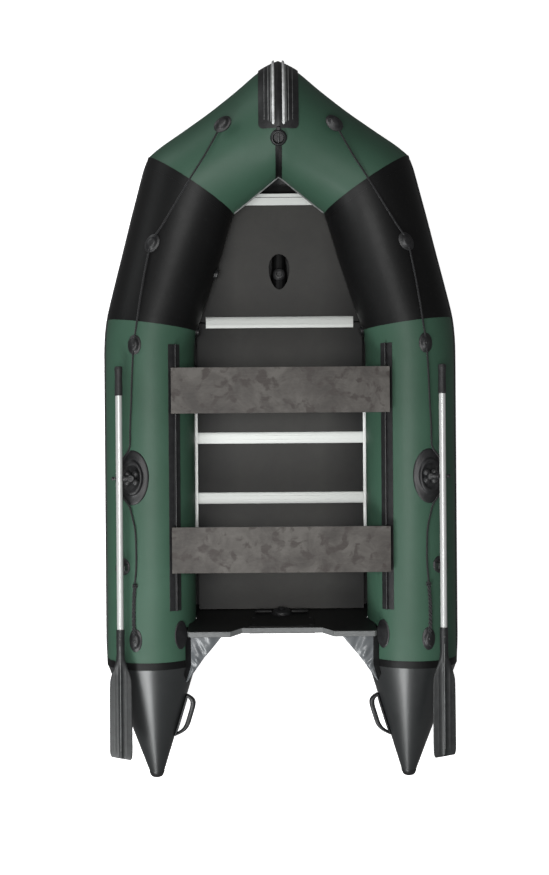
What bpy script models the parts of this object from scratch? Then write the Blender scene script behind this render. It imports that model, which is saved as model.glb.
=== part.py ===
"""Inflatable transom dinghy with sectional floor, two bench seats and two oars.

Metres, +X starboard, +Y bow, +Z up. The lowest point of the hull is at z = 0.
"""
import math

import bmesh
import bpy
from mathutils import Vector

# ---- driving dimensions ----------------------------------------------------
TUBE_R = 0.2075            # radius of the buoyancy tubes
TUBE_X = 0.611             # centreline of the side tubes
SKIN = 0.0014              # thickness of the coated fabric
GAP = 0.0004               # gap left between pieces that touch in reality
SHIFT_Y = -0.0105          # moves the hull so that its box is centred on Y
CONE_FRONT = -1.1125       # seam between side tube and stern cone
CONE_END = -1.640          # end of the stern cones
CONE_TIP_X = 0.588
CONE_TIP_R = 0.034
CONE_TIP_Z = 0.245
FLOOR_TOP = 0.110
BOARD_T = 0.012            # thickness of the floor boards
BOARD_HALF = 0.3945        # half width of the floor boards
PROFILE_W = 0.054          # width of the H-shaped joining profiles
PROFILE_Y = (0.495, -0.057, -0.344)
BEND_Y = 0.530             # the floor rises to the bow past here
FLOOR_AFT = -0.875
TRANSOM_T = 0.026
TRANSOM_RAKE = math.radians(9.6)
TRANSOM_IN_Y = -0.879      # inner face at floor height
TRANSOM_TOP = 0.440
CUTOUT_Z = 0.385
SEAT_HALF = 0.4965
SEAT_D = 0.2085
SEAT_TOP = 0.430
SEAT_T = 0.015
SEAT_Y = {"front": 0.160, "rear": -0.565}
RAIL_ANGLE = 37.0          # degrees inboard of the top of the tube
RAIL_Y = (-0.846, 0.374)
ROWLOCK = (0.677, -0.236)  # swivel axis
OAR_X = 0.730
OAR_Z = 0.457              # height of the shaft, and of the pin through it
SHAFT_R = 0.015
CLIP_Y = -0.642
N = 24                     # sides of the tubes


# ---- small helpers -----------------------------------------------------------
def clear_scene():
    for o in list(bpy.data.objects):
        bpy.data.objects.remove(o, do_unlink=True)


def material(name, colour, rough, metal=0.0):
    m = bpy.data.materials.new(name)
    m.use_nodes = True
    b = m.node_tree.nodes["Principled BSDF"]
    b.inputs["Base Color"].default_value = (*colour, 1)
    b.inputs["Roughness"].default_value = rough
    b.inputs["Metallic"].default_value = metal
    return m


BLACK = (0.012, 0.012, 0.013)
GREEN = (0.052, 0.124, 0.080)
ALU = (0.80, 0.82, 0.80)
WOOD = (0.115, 0.100, 0.090)
BOARD = (0.048, 0.044, 0.041)


def node(name, verts, faces, colour, rough, metal=0.0, smooth=True, at=(0, 0, 0)):
    """A named piece from points and faces; at is where its origin goes."""
    me = bpy.data.meshes.new(name)
    at = Vector(at)
    me.from_pydata([tuple(Vector(v) - at) for v in verts], [], faces)
    bm = bmesh.new()
    bm.from_mesh(me)
    bmesh.ops.recalc_face_normals(bm, faces=bm.faces)
    bm.to_mesh(me)
    bm.free()
    o = bpy.data.objects.new(name, me)
    o.location = at
    bpy.context.collection.objects.link(o)
    me.materials.append(material(name, colour, rough, metal))
    for p in me.polygons:
        p.use_smooth = smooth
    if smooth:
        me.set_sharp_from_angle(angle=math.radians(40))
    return o


def bevel(o, width, segments=1):
    b = o.modifiers.new("bevel", "BEVEL")
    b.width, b.segments, b.limit_method = width, segments, "ANGLE"
    b.angle_limit = math.radians(50)
    return o


def loft(rings, close=False, hollow=None):
    """Verts and faces through rings of equal length: capped, or closed back on itself."""
    n = len(rings[0])
    verts = [p for r in rings for p in r]
    faces = []
    m = len(rings)
    for k in range(m if close else m - 1):
        a, b = k * n, (k + 1) % m * n
        faces += [(a + i, a + (i + 1) % n, b + (i + 1) % n, b + i) for i in range(n)]
    if not close:
        faces += [tuple(range(n)), tuple((m - 1) * n + i for i in reversed(range(n)))]
    return verts, faces


def prism(section, axis, lo, hi):
    """A section of 2-D points drawn out along x, y or z."""
    def put(p, c):
        return {"x": (c, p[0], p[1]), "y": (p[0], c, p[1]), "z": (p[0], p[1], c)}[axis]
    return loft([[put(p, lo) for p in section], [put(p, hi) for p in section]])


def lathe(profile, n, at=(0, 0, 0), axis=(0, 0, 1)):
    """A solid of revolution from (radius, height) points; a zero radius makes a pole."""
    q = Vector((0, 0, 1)).rotation_difference(Vector(axis).normalized())
    verts, faces, rings = [], [], []
    for r, h in profile:
        k = len(verts)
        ring = [(0, 0, h)] if r == 0 else [
            (r * math.cos(2 * math.pi * i / n), r * math.sin(2 * math.pi * i / n), h)
            for i in range(n)]
        verts += [tuple(q @ Vector(p) + Vector(at)) for p in ring]
        rings.append(list(range(k, k + len(ring))))
    pairs = list(zip(rings, rings[1:]))
    if profile[0][0] and profile[-1][0]:
        pairs.append((rings[-1], rings[0]))
    for a, b in pairs:
        for i in range(n):
            j = (i + 1) % n
            if len(a) == 1:
                faces.append((a[0], b[j], b[i]))
            elif len(b) == 1:
                faces.append((a[i], a[j], b[0]))
            else:
                faces.append((a[i], a[j], b[j], b[i]))
    return verts, faces


def side_name(side):
    return "right" if side > 0 else "left"


# ---- the run of the tubes (starboard half, from stern to bow) -------------------
# plan points on the outer and the inner edge of the tube at each station
STATIONS = (
    ((0.8185, CONE_FRONT), (0.4035, CONE_FRONT)), ((0.8185, 0.390), (0.4035, 0.380)),
    ((0.8085, 0.500), (0.3935, 0.443)), ((0.762, 0.683), (0.347, 0.574)),
    ((0.687, 0.965), (0.274, 0.790)), ((0.636, 1.140), (0.233, 0.920)),
    ((0.604, 1.243), (0.212, 0.983)), ((0.562, 1.280), (0.200, 0.991)),
    ((0.470, 1.337), (0.165, 1.016)), ((0.315, 1.437), (0.110, 1.055)),
    ((0.177, 1.537), (0.060, 1.089)), ((0.079, 1.617), (0.025, 1.113)),
    ((0.0003, 1.6448), (0.0003, 1.130)))
SEAM_TWO, SEAM_ONE = 2, 6  # stations where the colour changes


def rise(y):
    """Height of the tube's centreline: level aft, lifting to the bow."""
    return TUBE_R + 0.195 * max(0.0, (y - 0.50) / 0.889) ** 2.6


def frames():
    """For each station: centre, direction, half width in radii (outboard), and up."""
    mid = [Vector(((o[0] + i[0]) / 2, (o[1] + i[1]) / 2, 0)) for o, i in STATIONS]
    for m in mid:
        m.z = rise(m.y)
    out = []
    for k, (o, i) in enumerate(STATIONS):
        d = (mid[min(k + 1, len(mid) - 1)] - mid[max(k - 1, 0)]).normalized()
        half = Vector((o[0] - i[0], o[1] - i[1], 0)) / (2 * TUBE_R)
        out.append((mid[k], d, half, Vector((0, 0, 1))))
    return out


FRAMES = frames()


def on_tube(i, angle, r):
    """A point at radius r on the tube; angle in degrees outboard of its top."""
    return on_frame(FRAMES[i], angle, r)


def on_frame(frame, angle, r):
    c, _, o, up = frame
    a = math.radians(angle)
    return c + o * (r * math.sin(a)) + up * (r * math.cos(a))


def between(a, b, t):
    return tuple(p.lerp(q, t) for p, q in zip(a, b))


def at_y(y):
    """Frame interpolated along the tube where its centre is at y."""
    for a, b in zip(FRAMES, FRAMES[1:]):
        if a[0].y <= y <= b[0].y:
            return between(a, b, (y - a[0].y) / (b[0].y - a[0].y))
    raise ValueError(y)


def locate(x, y):
    """Frame and angle of the point of the upper skin that lies over (x, y)."""
    best = None
    for a, b in zip(FRAMES, FRAMES[1:]):
        for k in range(41):
            f = between(a, b, k / 40)
            rel = Vector((x, y, 0)) - Vector((f[0].x, f[0].y, 0))
            s = rel.dot(f[2]) / f[2].length_squared
            miss = (rel - f[2] * s).length
            if abs(s) <= TUBE_R and (best is None or miss < best[0]):
                best = (miss, f, math.degrees(math.asin(s / TUBE_R)))
    return best[1], best[2]


def inner_x(y, z):
    """Where the tube's inner side is at this y and height."""
    pts = []
    for f in FRAMES:
        k = max(-1.0, min(1.0, (z - f[0].z) / TUBE_R))
        pts.append(on_frame(f, -math.degrees(math.acos(k)), TUBE_R))
    for a, b in zip(pts, pts[1:]):
        if a.y <= y <= b.y:
            return a.x + (b.x - a.x) * (y - a.y) / (b.y - a.y)
    return pts[-1].x


def mirror(points, side):
    return [(p[0] * side, p[1], p[2]) for p in points]


def ring(frame, r, n=N):
    c, _, o, u = frame
    return [c + o * (r * math.sin(2 * math.pi * k / n)) + u * (r * math.cos(2 * math.pi * k / n))
            for k in range(n)]


def shell(fr, radii, thick=SKIN):
    """Rings of an open-ended fabric shell: out along the outside, back along the inside."""
    rings = [ring(f, r) for f, r in zip(fr, radii)]
    return rings + [ring(f, r - thick) for f, r in reversed(list(zip(fr, radii)))]


def trimmed(fr, lead, tail):
    """Frames with the first and last moved a little inwards, for a gap at a seam."""
    fr = [list(f) for f in fr]
    fr[0][0] = fr[0][0] + fr[0][1] * lead
    fr[-1][0] = fr[-1][0] - fr[-1][1] * tail
    return fr


def tubes():
    two, one = SEAM_TWO, SEAM_ONE
    for side in (-1, 1):
        name = side_name(side)
        parts = ((f"side_tube_{name}", FRAMES[:two + 1], GREEN, 0.45),
                 (f"forward_tube_{name}", FRAMES[two:one + 1], BLACK, 0.35),
                 (f"bow_tube_{name}", FRAMES[one:], GREEN, 0.45))
        for label, fr, colour, rough in parts:
            fr = trimmed(fr, GAP / 2, 0.0 if label.startswith("bow") else GAP / 2)
            v, f = loft(shell(fr, [TUBE_R] * len(fr)), close=True)
            node(label, mirror(v, side), f, colour, rough)
        # internal diaphragms: thin dished walls that part the tube into air chambers
        c, d, o, u = FRAMES[two]
        back = [c + d * k for k in (-0.004, -0.0055)]
        rings = [ring((b, d, o, u), TUBE_R - SKIN - 2 * GAP) for b in back]
        v, f = loft(rings)
        node(f"bulkhead_{name}", mirror(v, side), f, (0.20, 0.21, 0.20), 0.6)


def cone_radius(y):
    return TUBE_R + (y - CONE_FRONT) / (CONE_END + 0.030 - CONE_FRONT) * (CONE_TIP_R - TUBE_R)


def cone_centre(y):
    t = (y - CONE_FRONT) / (CONE_END - CONE_FRONT)
    return Vector((TUBE_X + t * (CONE_TIP_X - TUBE_X), y, TUBE_R + t * (CONE_TIP_Z - TUBE_R)))


def cones():
    ys = [CONE_FRONT - GAP / 2, -1.36, CONE_END + 0.030]
    for side in (-1, 1):
        fr = [(cone_centre(y), None, Vector((1, 0, 0)), Vector((0, 0, 1))) for y in ys]
        outer = [ring(f, cone_radius(y)) for f, y in zip(fr, ys)]
        inner = [ring(f, cone_radius(y) - SKIN) for f, y in zip(fr, ys)]
        tip = [ring((cone_centre(y), None, fr[0][2], fr[0][3]), r)
               for y, r in ((CONE_END + 0.012, CONE_TIP_R - 0.003), (CONE_END, 0.022))]
        rings = inner[:2] + [ring(fr[2], CONE_TIP_R - 0.006)]
        rings = list(reversed(rings)) + outer + tip
        v, f = loft(rings)
        node(f"stern_cone_{side_name(side)}", mirror(v, side), f, BLACK, 0.3)


def bottom():
    """Bottom skin in two panels, the air keel between skin and floor, and its chafing strip."""
    def row(i, lift):
        """Points of one level row from port to starboard."""
        edge = on_tube(i, 180 + 25, TUBE_R + 0.0012 + lift)
        y, half, z = edge.y, edge.x, edge.z
        keel = z - 0.0125 if y < 0.5 else z - 0.0125 - 0.012 * math.sin(
            min(1.0, (y - 0.5) / 0.75) * math.pi)
        xs = (-1, -0.6, -0.25, 0, 0.25, 0.6, 1)
        return [(half * x, y, z + (keel - z) * (1 - abs(x)) ** 1.3) for x in xs]

    def panel(name, idx, front_trim, first_y=None):
        top, low = [], []
        for k, i in enumerate(idx):
            for rows, lift in ((top, 0.0), (low, 0.0)):
                r = row(i, lift)
                if k == 0 and first_y is not None:
                    r = [(x, first_y, z) for x, _, z in r]
                if k == len(idx) - 1:
                    r = [(x, y - front_trim, z) for x, y, z in r]
                rows.append(r)
        low = [[(x, y, z - SKIN) for x, y, z in r] for r in low]
        rings = [t + list(reversed(b)) for t, b in zip(top, low)]
        v, f = loft(rings)
        node(name, v, f, BLACK, 0.6)

    two = SEAM_TWO
    last = max(i for i in range(len(FRAMES)) if on_tube(i, 205, TUBE_R).x > 0.12)
    panel("bottom_panel", [0, 1, two], 0.0004, first_y=-0.915)
    panel("bow_bottom_panel", list(range(two, last + 1)), 0.0)
    ys = [-0.845, -0.80, 0.50, 0.72, 0.86, 0.93]
    rs = [0.015, 0.0425, 0.0425, 0.038, 0.026, 0.010]
    zs = [0.050, 0.0505, 0.0505, 0.052, 0.060, 0.069]
    rings = [[(r * math.cos(2 * math.pi * k / 16), y, z + r * math.sin(2 * math.pi * k / 16))
              for k in range(16)] for y, r, z in zip(ys, rs, zs)]
    v, f = loft(rings)
    node("keel_tube", v, f, (0.05, 0.05, 0.052), 0.6)
    v, f = loft([[(-0.012, y, 0.0003), (0.012, y, 0.0003), (0.012, y, 0.0036), (-0.012, y, 0.0036)]
                 for y in (-0.90, 0.30)])
    node("keel_guard", v, f, BLACK, 0.7, smooth=False)


# ---- pads and strips that lie on the tubes -------------------------------------
def pad_on(frame, side, angle, half_u, half_v, profile, n=20, base=0.0006, turn=0.0):
    """A moulded pad on the tube. profile is (share of the radius, height), from the rim in."""
    c, d, o, u = frame

    def put(rho, phi, h):
        a, b = rho * half_u * math.cos(phi), rho * half_v * math.sin(phi)
        a, b = (a * math.cos(turn) - b * math.sin(turn), a * math.sin(turn) + b * math.cos(turn))
        t = math.radians(angle) + a / TUBE_R
        p = c + d * b + (o * math.sin(t) + u * math.cos(t)) * (TUBE_R + base + h)
        return (p.x * side, p.y, p.z)
    steps = [(1.0, 0.0), (0.75, 0.0), (0.5, 0.0), (0.25, 0.0)] if half_u > 0.06 else [
        (1.0, 0.0), (0.5, 0.0)]
    rings = [[put(rho, 2 * math.pi * k / n, h) for k in range(n)]
             for rho, h in list(reversed(steps)) + list(profile)]
    verts = [p for r in rings for p in r]
    faces = []
    for k in range(len(rings) - 1):
        a, b = k * n, (k + 1) * n
        faces += [(a + i, a + (i + 1) % n, b + (i + 1) % n, b + i) for i in range(n)]
    low, top = len(verts), len(verts) + 1
    verts += [put(0, 0, 0.0), put(0, 0, profile[-1][1])]
    e = (len(rings) - 1) * n
    faces += [(low, (i + 1) % n, i) for i in range(n)]
    faces += [(top, e + i, e + (i + 1) % n) for i in range(n)]
    return verts, faces


def pt(angle, r, y, side=1):
    """A point on the straight side tube."""
    a = math.radians(angle)
    return (side * (TUBE_X + r * math.sin(a)), y, TUBE_R + r * math.cos(a))


def rail_frame(u, v):
    """Section point of a seat rail: u along the skin outboard, v away from it."""
    a = math.radians(RAIL_ANGLE)
    r = TUBE_R + v
    return (TUBE_X - r * math.sin(a) + u * math.cos(a), TUBE_R + r * math.cos(a) + u * math.sin(a))


def seat_rails():
    def wrap(u, v):
        """As rail_frame but following the curve of the skin."""
        a = math.radians(RAIL_ANGLE) - u / TUBE_R
        return (TUBE_X - (TUBE_R + v) * math.sin(a), TUBE_R + (TUBE_R + v) * math.cos(a))
    w = 0.031
    sec = [wrap(u, 0.0006) for u in (-w, -w / 2, 0, w / 2, w)]
    sec += [wrap(w, 0.0022), wrap(w / 2, 0.0030), wrap(0.0024, 0.0030), rail_frame(0.0024, 0.0068)]
    sec += [rail_frame(0.005 * math.cos(a), 0.0115 + 0.005 * math.sin(a))
            for a in (math.radians(k) for k in (-40, 0, 45, 90, 135, 180, 220))]
    sec += [rail_frame(-0.0024, 0.0068), wrap(-0.0024, 0.0030), wrap(-w / 2, 0.0030),
            wrap(-w, 0.0022)]
    for side in (-1, 1):
        v, f = prism(sec, "y", *RAIL_Y)
        node(f"seat_rail_{side_name(side)}", mirror(v, side), f, BLACK, 0.4, smooth=False)


def seats():
    """A plywood board with a runner fixed under each end that grips the rail."""
    low = SEAT_TOP - SEAT_T
    x_in = rail_frame(-0.0150, 0.0046)[0]
    groove = [rail_frame(*p) for p in (
        (-0.0150, 0.0046), (-0.0032, 0.0046), (-0.0032, 0.0060), (-0.0060, 0.0062),
        (-0.0060, 0.0174), (0.0060, 0.0174), (0.0060, 0.0062), (0.0032, 0.0060),
        (0.0032, 0.0046), (0.0110, 0.0046))]
    half = [(x_in, low)] + groove + [(groove[-1][0], low), (SEAT_HALF, low), (SEAT_HALF, SEAT_TOP)]
    loop = half + [(-x, z) for x, z in reversed(half)]
    for label, y in SEAT_Y.items():
        v, f = prism(loop, "y", y - SEAT_D / 2, y + SEAT_D / 2)
        node(f"{label}_seat", v, f, WOOD, 0.55, smooth=False, at=(0, y, low))


def strakes():
    """Rubbing strake along the outside of each tube, over the forward seam to the cone."""
    idx = list(range(0, SEAM_ONE + 1))
    sec = [(-13, 0.0010), (0, 0.0010), (13, 0.0010), (12, 0.0045), (5, 0.0075), (-5, 0.0075),
           (-12, 0.0045)]
    for side in (-1, 1):
        rings = []
        for k, i in enumerate(idx):
            s = 0.35 if k == 0 or k == len(idx) - 1 else 1.0
            rings.append([on_tube(i, 90 + a * (0.5 if s < 1 else 1.0), TUBE_R + 0.0010 +
                                  (h - 0.0010) * s) for a, h in sec])
        start = [p + Vector((0, 0.10, 0)) for p in
                 [on_tube(0, 90 + a, TUBE_R + h) for a, h in sec]]
        rings = [rings[0], start] + rings[1:]
        v, f = loft(rings)
        node(f"rub_strake_{side_name(side)}", mirror(v, side), f, BLACK, 0.5)


def stem(x, angle, lift):
    """A point near the stem at this x, angle degrees forward of the top of the tube."""
    run = [on_frame(f, angle, TUBE_R + lift) for f in FRAMES[-4:]]
    for a, b in zip(run, run[1:]):
        if b.x <= abs(x) <= a.x:
            p = a.lerp(b, (a.x - abs(x)) / (a.x - b.x))
            return (x, p.y, p.z)
    return (x, run[-1].y, run[-1].z)


def bow_patch():
    """Wear patch with ribs that is wrapped over the stem."""
    cols = ((-0.0885, 0), (-0.067, 0.0), (-0.045, 0.002), (-0.033, 0.004), (-0.031, 0.011),
            (-0.016, 0.011), (-0.014, 0.004), (0.0, 0.004), (0.014, 0.004), (0.016, 0.011), (0.031, 0.011),
            (0.033, 0.004), (0.045, 0.002), (0.067, 0.0), (0.0885, 0))
    rings = []
    for angle in range(-15, 151, 15):
        top = [stem(x, angle, 0.0060 + h) for x, h in cols]
        rings.append(top + [stem(x, angle, 0.0036) for x, _ in reversed(cols)])
    v, f = loft(rings)
    node("bow_patch", v, f, BLACK, 0.45, smooth=False)


def bow_eye():
    """Round towing pad with a dished ring, on top of the tube behind the patch."""
    y = 1.268
    f, angle = locate(0.0003, y)
    a = math.radians(angle)
    n = Vector((0, math.sin(a), math.cos(a)))
    p = Vector(on_frame(f, angle, TUBE_R + 0.0035))
    p.x = 0
    prof = [(0, 0.0), (0.037, 0.0), (0.037, 0.004), (0.032, 0.012), (0.027, 0.013),
            (0.023, 0.010), (0.021, 0.005), (0.012, 0.004), (0.009, 0.008), (0.0, 0.009)]
    v, f = lathe(prof, 24, p, n)
    node("bow_eye", v, f, BLACK, 0.3)


# ---- floor ------------------------------------------------------------------
def slope_z(y):
    """Height of the floor's top: level aft, rising to the bow past the first profile."""
    return FLOOR_TOP + max(0.0, y - BEND_Y) * 0.085


def board_half(y):
    """Half width that the tubes leave at floor height."""
    z = slope_z(y)
    return min(BOARD_HALF, inner_x(y, z) - 0.004, inner_x(y, z - BOARD_T - 0.004) - 0.004)


def slab(ys, t=BOARD_T):
    y0, y1 = ys
    rows = [y0, y1]
    if y1 > 0.33:
        rows = [y0] + [y for y in (0.20, 0.36, BEND_Y, 0.70, 0.86, 0.97) if y0 < y < y1] + [y1]
    rings = []
    for y in rows:
        h, z = board_half(y), slope_z(y)
        rings.append([(-h, y, z), (h, y, z), (h, y, z - t), (-h, y, z - t)])
    return loft(rings)


def egg(cx, cy, half_x, half_y, z0, z1, n=20):
    """Prism whose outline is wider forward, for the hole over the keel valve."""
    def out(z):
        return [(cx + half_x * math.cos(a) * (1 + 0.16 * math.sin(a)), cy + half_y * math.sin(a), z)
                for a in (2 * math.pi * k / n for k in range(n))]
    return loft([out(z0), out(z1)])


def cut(target, cutter):
    cutter.hide_render = True
    cutter.display_type = "WIRE"
    b = target.modifiers.new("cut", "BOOLEAN")
    b.operation, b.solver, b.object = "DIFFERENCE", "EXACT", cutter


def floor():
    web = 0.003
    edges = [(PROFILE_Y[0] + web, 1.068), (PROFILE_Y[1] + web, PROFILE_Y[0] - web),
             (PROFILE_Y[2] + web, PROFILE_Y[1] - web), (FLOOR_AFT, PROFILE_Y[2] - web)]
    names = ("floor_board_bow", "floor_board_forward", "floor_board_middle", "floor_board_aft")
    for name, ys in zip(names, edges):
        v, f = slab(ys)
        board = node(name, v, f, BOARD, 0.6, smooth=False)
        if name == "floor_board_bow":
            v, f = egg(0, 0.735, 0.049, 0.084, 0.05, 0.20)
            cut(board, node("valve_hole_cutter", v, f, BOARD, 0.6))
    h, t, g = PROFILE_W / 2, 0.0024, 0.0005
    z1, z0 = FLOOR_TOP + g, FLOOR_TOP - BOARD_T - g
    w = web / 2 - 0.0002
    for k, y in enumerate(PROFILE_Y):
        sec = [(y - h, z0 - t), (y + h, z0 - t), (y + h, z0), (y + w, z0), (y + w, z1), (y + h, z1),
               (y + h, z1 + t), (y - h, z1 + t), (y - h, z1), (y - w, z1), (y - w, z0), (y - h, z0)]
        half = BOARD_HALF if k else 0.352
        v, f = prism(sec, "x", -half, half)
        node(("floor_profile_forward", "floor_profile_middle", "floor_profile_aft")[k],
             v, f, ALU, 0.35, 0.9, smooth=False)
    # U-shaped profile over the front edge of the bow board
    y0, y1 = 1.047, 1.101
    sec = []
    for dy, up in ((0, g + t), (y1 - y0, g + t), (y1 - y0, -BOARD_T - g - t), (0, -BOARD_T - g - t),
                   (0, -BOARD_T - g), (0.024, -BOARD_T - g), (0.024, g), (0, g)):
        sec.append((y0 + dy, slope_z(y0 + dy) + up))
    rings = []
    for s in (-1, 1):
        rings.append([(s * (board_half(y) - 0.004), y, z) for y, z in sec])
    v, f = loft(rings)
    node("floor_profile_bow", v, f, ALU, 0.35, 0.9, smooth=False)
    for side in (-1, 1):
        a, b = BOARD_HALF + 0.0006, BOARD_HALF + 0.0026
        zt, zb = FLOOR_TOP + 0.0035, FLOOR_TOP - BOARD_T - 0.0035
        sec = [(a, zb), (a + 0.022, zb), (a + 0.022, zb + 0.002), (b, zb + 0.002), (b, zt - 0.002),
               (a + 0.014, zt - 0.002), (a + 0.014, zt), (a, zt)]
        v, f = prism(sec, "y", -0.62, 0.20)
        node(f"floor_stringer_{side_name(side)}", mirror(v, side), f, ALU, 0.35, 0.9, smooth=False)


# ---- transom ----------------------------------------------------------------
def raked(x, z, depth):
    """A point on the raked transom; depth runs aft from the inner face, square to it."""
    y = TRANSOM_IN_Y - math.tan(TRANSOM_RAKE) * (z - FLOOR_TOP)
    return (x, y - depth * math.cos(TRANSOM_RAKE), z + depth * math.sin(TRANSOM_RAKE) * -1)


def raked_prism(outline, d0, d1):
    return loft([[raked(x, z, d0) for x, z in outline], [raked(x, z, d1) for x, z in outline]])


def transom():
    def beside_tube(z):
        return TUBE_X - math.sqrt(max(0.0, (TUBE_R + 0.0045) ** 2 - (z - TUBE_R) ** 2))
    zs = [0.026, 0.06, 0.10, 0.14, 0.175, 0.2075, 0.24, 0.27, 0.295]
    side_pts = [(beside_tube(z), z) for z in zs] + [(0.430, 0.318), (0.430, 0.428), (0.420, TRANSOM_TOP)]
    top = [(0.235, TRANSOM_TOP), (0.184, CUTOUT_Z)]
    right = side_pts + top
    keel = [(0.0, 0.0135), (0.25, 0.020)]
    right = keel[1:] + right
    outline = right + [(-x, z) for x, z in reversed(right)] + keel[:1]
    v, f = raked_prism(outline, 0, TRANSOM_T)
    node("transom_board", v, f, (0.10, 0.10, 0.10), 0.5, smooth=False)
    plate = [(-0.150, 0.235), (0.150, 0.235), (0.150, 0.375), (-0.150, 0.375)]
    v, f = raked_prism(plate, -0.0044, -GAP)
    node("motor_plate_inner", v, f, BLACK, 0.5, smooth=False)
    v, f = raked_prism(plate, TRANSOM_T + GAP, TRANSOM_T + 0.0044)
    node("motor_plate_outer", v, f, BLACK, 0.5, smooth=False)


def transom_holders():
    """Moulded shoe on each tube, its lip beside the board's edge."""
    y = TRANSOM_IN_Y - math.tan(TRANSOM_RAKE) * 0.25 - 0.038
    for side in (-1, 1):
        fr = at_y(y)
        prof = ((1.0, 0.0022), (0.9, 0.0034), (0.55, 0.0036), (0.4, 0.0036))
        v, f = pad_on(fr, side, -45, 0.036, 0.066, prof, n=20)
        node(f"transom_holder_{side_name(side)}", v, f, BLACK, 0.35)


def gussets():
    """Triangular fabric web from the back of the transom to the tube on each side."""
    for side in (-1, 1):
        # thin sheet that hangs level just under the top of the transom
        y0 = raked(0, 0.31, TRANSOM_T)[1] - 0.0016
        edge = [(0.270, y0, 0.302), (0.318, y0 - 0.072, 0.300), (0.362, y0 - 0.135, 0.300),
                (0.405, y0 - 0.195, 0.300), (0.440, y0 - 0.245, 0.300)]
        top, low = [], []
        for a in edge:
            y, z = a[1], a[2]
            c, r = (cone_centre(y), cone_radius(y)) if y < CONE_FRONT else (
                Vector((TUBE_X, y, TUBE_R)), TUBE_R)
            x_lim = c.x - math.sqrt(r ** 2 - (z - c.z) ** 2) - 0.0036
            m = ((a[0] + x_lim) / 2, y, z)
            rowp = [a, (m[0], m[1], m[2] + 0.004), (x_lim, y, z)]
            top.append(rowp)
            low.append([(x, y, z - SKIN) for x, y, z in rowp])
        rings = [t + list(reversed(b)) for t, b in zip(top, low)]
        v, f = loft(rings)
        node(f"transom_gusset_{side_name(side)}", mirror(v, side), f, (0.25, 0.27, 0.29), 0.3)


def drain():
    """Self-bailing drain in the transom's foot: a flanged dome with a bore, and its plug."""
    z = 0.168
    n = Vector((0, math.cos(TRANSOM_RAKE), math.sin(TRANSOM_RAKE)))
    p = Vector(raked(0, z, 0)) + n * GAP
    prof = [(0.013, 0.0), (0.046, 0.0), (0.046, 0.004), (0.040, 0.012), (0.026, 0.019),
            (0.013, 0.021)]
    v, f = lathe(prof, 24, p, n)
    node("drain_valve", v, f, BLACK, 0.3)
    prof = [(0, 0.001), (0.0125, 0.001), (0.0125, 0.0215), (0.017, 0.0215), (0.017, 0.0265),
            (0.005, 0.028), (0, 0.028)]
    v, f = lathe(prof, 16, p, n)
    node("drain_plug", v, f, BLACK, 0.35, at=p)


# ---- rowlocks and oars ----------------------------------------------------------
def rowlocks():
    ang = math.degrees(math.asin((ROWLOCK[0] - TUBE_X) / TUBE_R))
    surf = TUBE_R + math.sqrt(TUBE_R ** 2 - (ROWLOCK[0] - TUBE_X) ** 2)
    for side in (-1, 1):
        x, y = ROWLOCK[0] * side, ROWLOCK[1]
        fr = at_y(y)
        prof = ((1.0, 0.0024), (0.93, 0.0045), (0.66, 0.0075), (0.62, 0.0150), (0.50, 0.0170),
                (0.44, 0.0150), (0.36, 0.0120), (0.20, 0.0120))
        v, f = pad_on(fr, side, ang, 0.078, 0.125, prof, n=28)
        pad = node(f"rowlock_pad_{side_name(side)}", v, f, BLACK, 0.35)
        v, f = lathe([(0, surf + 0.004), (0.0115, surf + 0.004), (0.0115, 0.60), (0, 0.60)], 20,
                     (x, y, 0))
        cut(pad, node(f"socket_cutter_{side_name(side)}", v, f, BLACK, 0.5))
        swivel(side, x, y, surf)
        oar(side)


def swivel(side, x, y, surf):
    """Post that turns in the pad, with the cross pin the oar hangs on and its end stop."""
    n = 16
    low = surf + 0.0048
    post = [(0.0110, low), (0.0110, surf + 0.0215), (0.0170, surf + 0.0220), (0.0170, 0.4700)]
    rings = [[(x + r * math.cos(2 * math.pi * k / n), y + r * math.sin(2 * math.pi * k / n), z)
              for k in range(n)] for r, z in post]
    v, f = loft(rings)
    body = node(f"rowlock_swivel_{side_name(side)}", v, f, BLACK, 0.35, at=(x, y, OAR_Z))
    pin = [(0, 0.0), (0.0052, 0.0), (0.0052, 0.0760), (0.0095, 0.0765), (0.0095, 0.0860),
           (0.004, 0.0890), (0, 0.0890)]
    v, f = lathe(pin, n, (x, y, OAR_Z), (side, 0, 0))
    join = node(f"pin_joiner_{side_name(side)}", v, f, BLACK, 0.35)
    join.hide_render = True
    join.display_type = "WIRE"
    b = body.modifiers.new("join", "BOOLEAN")
    b.operation, b.solver, b.object = "UNION", "EXACT", join


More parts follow.
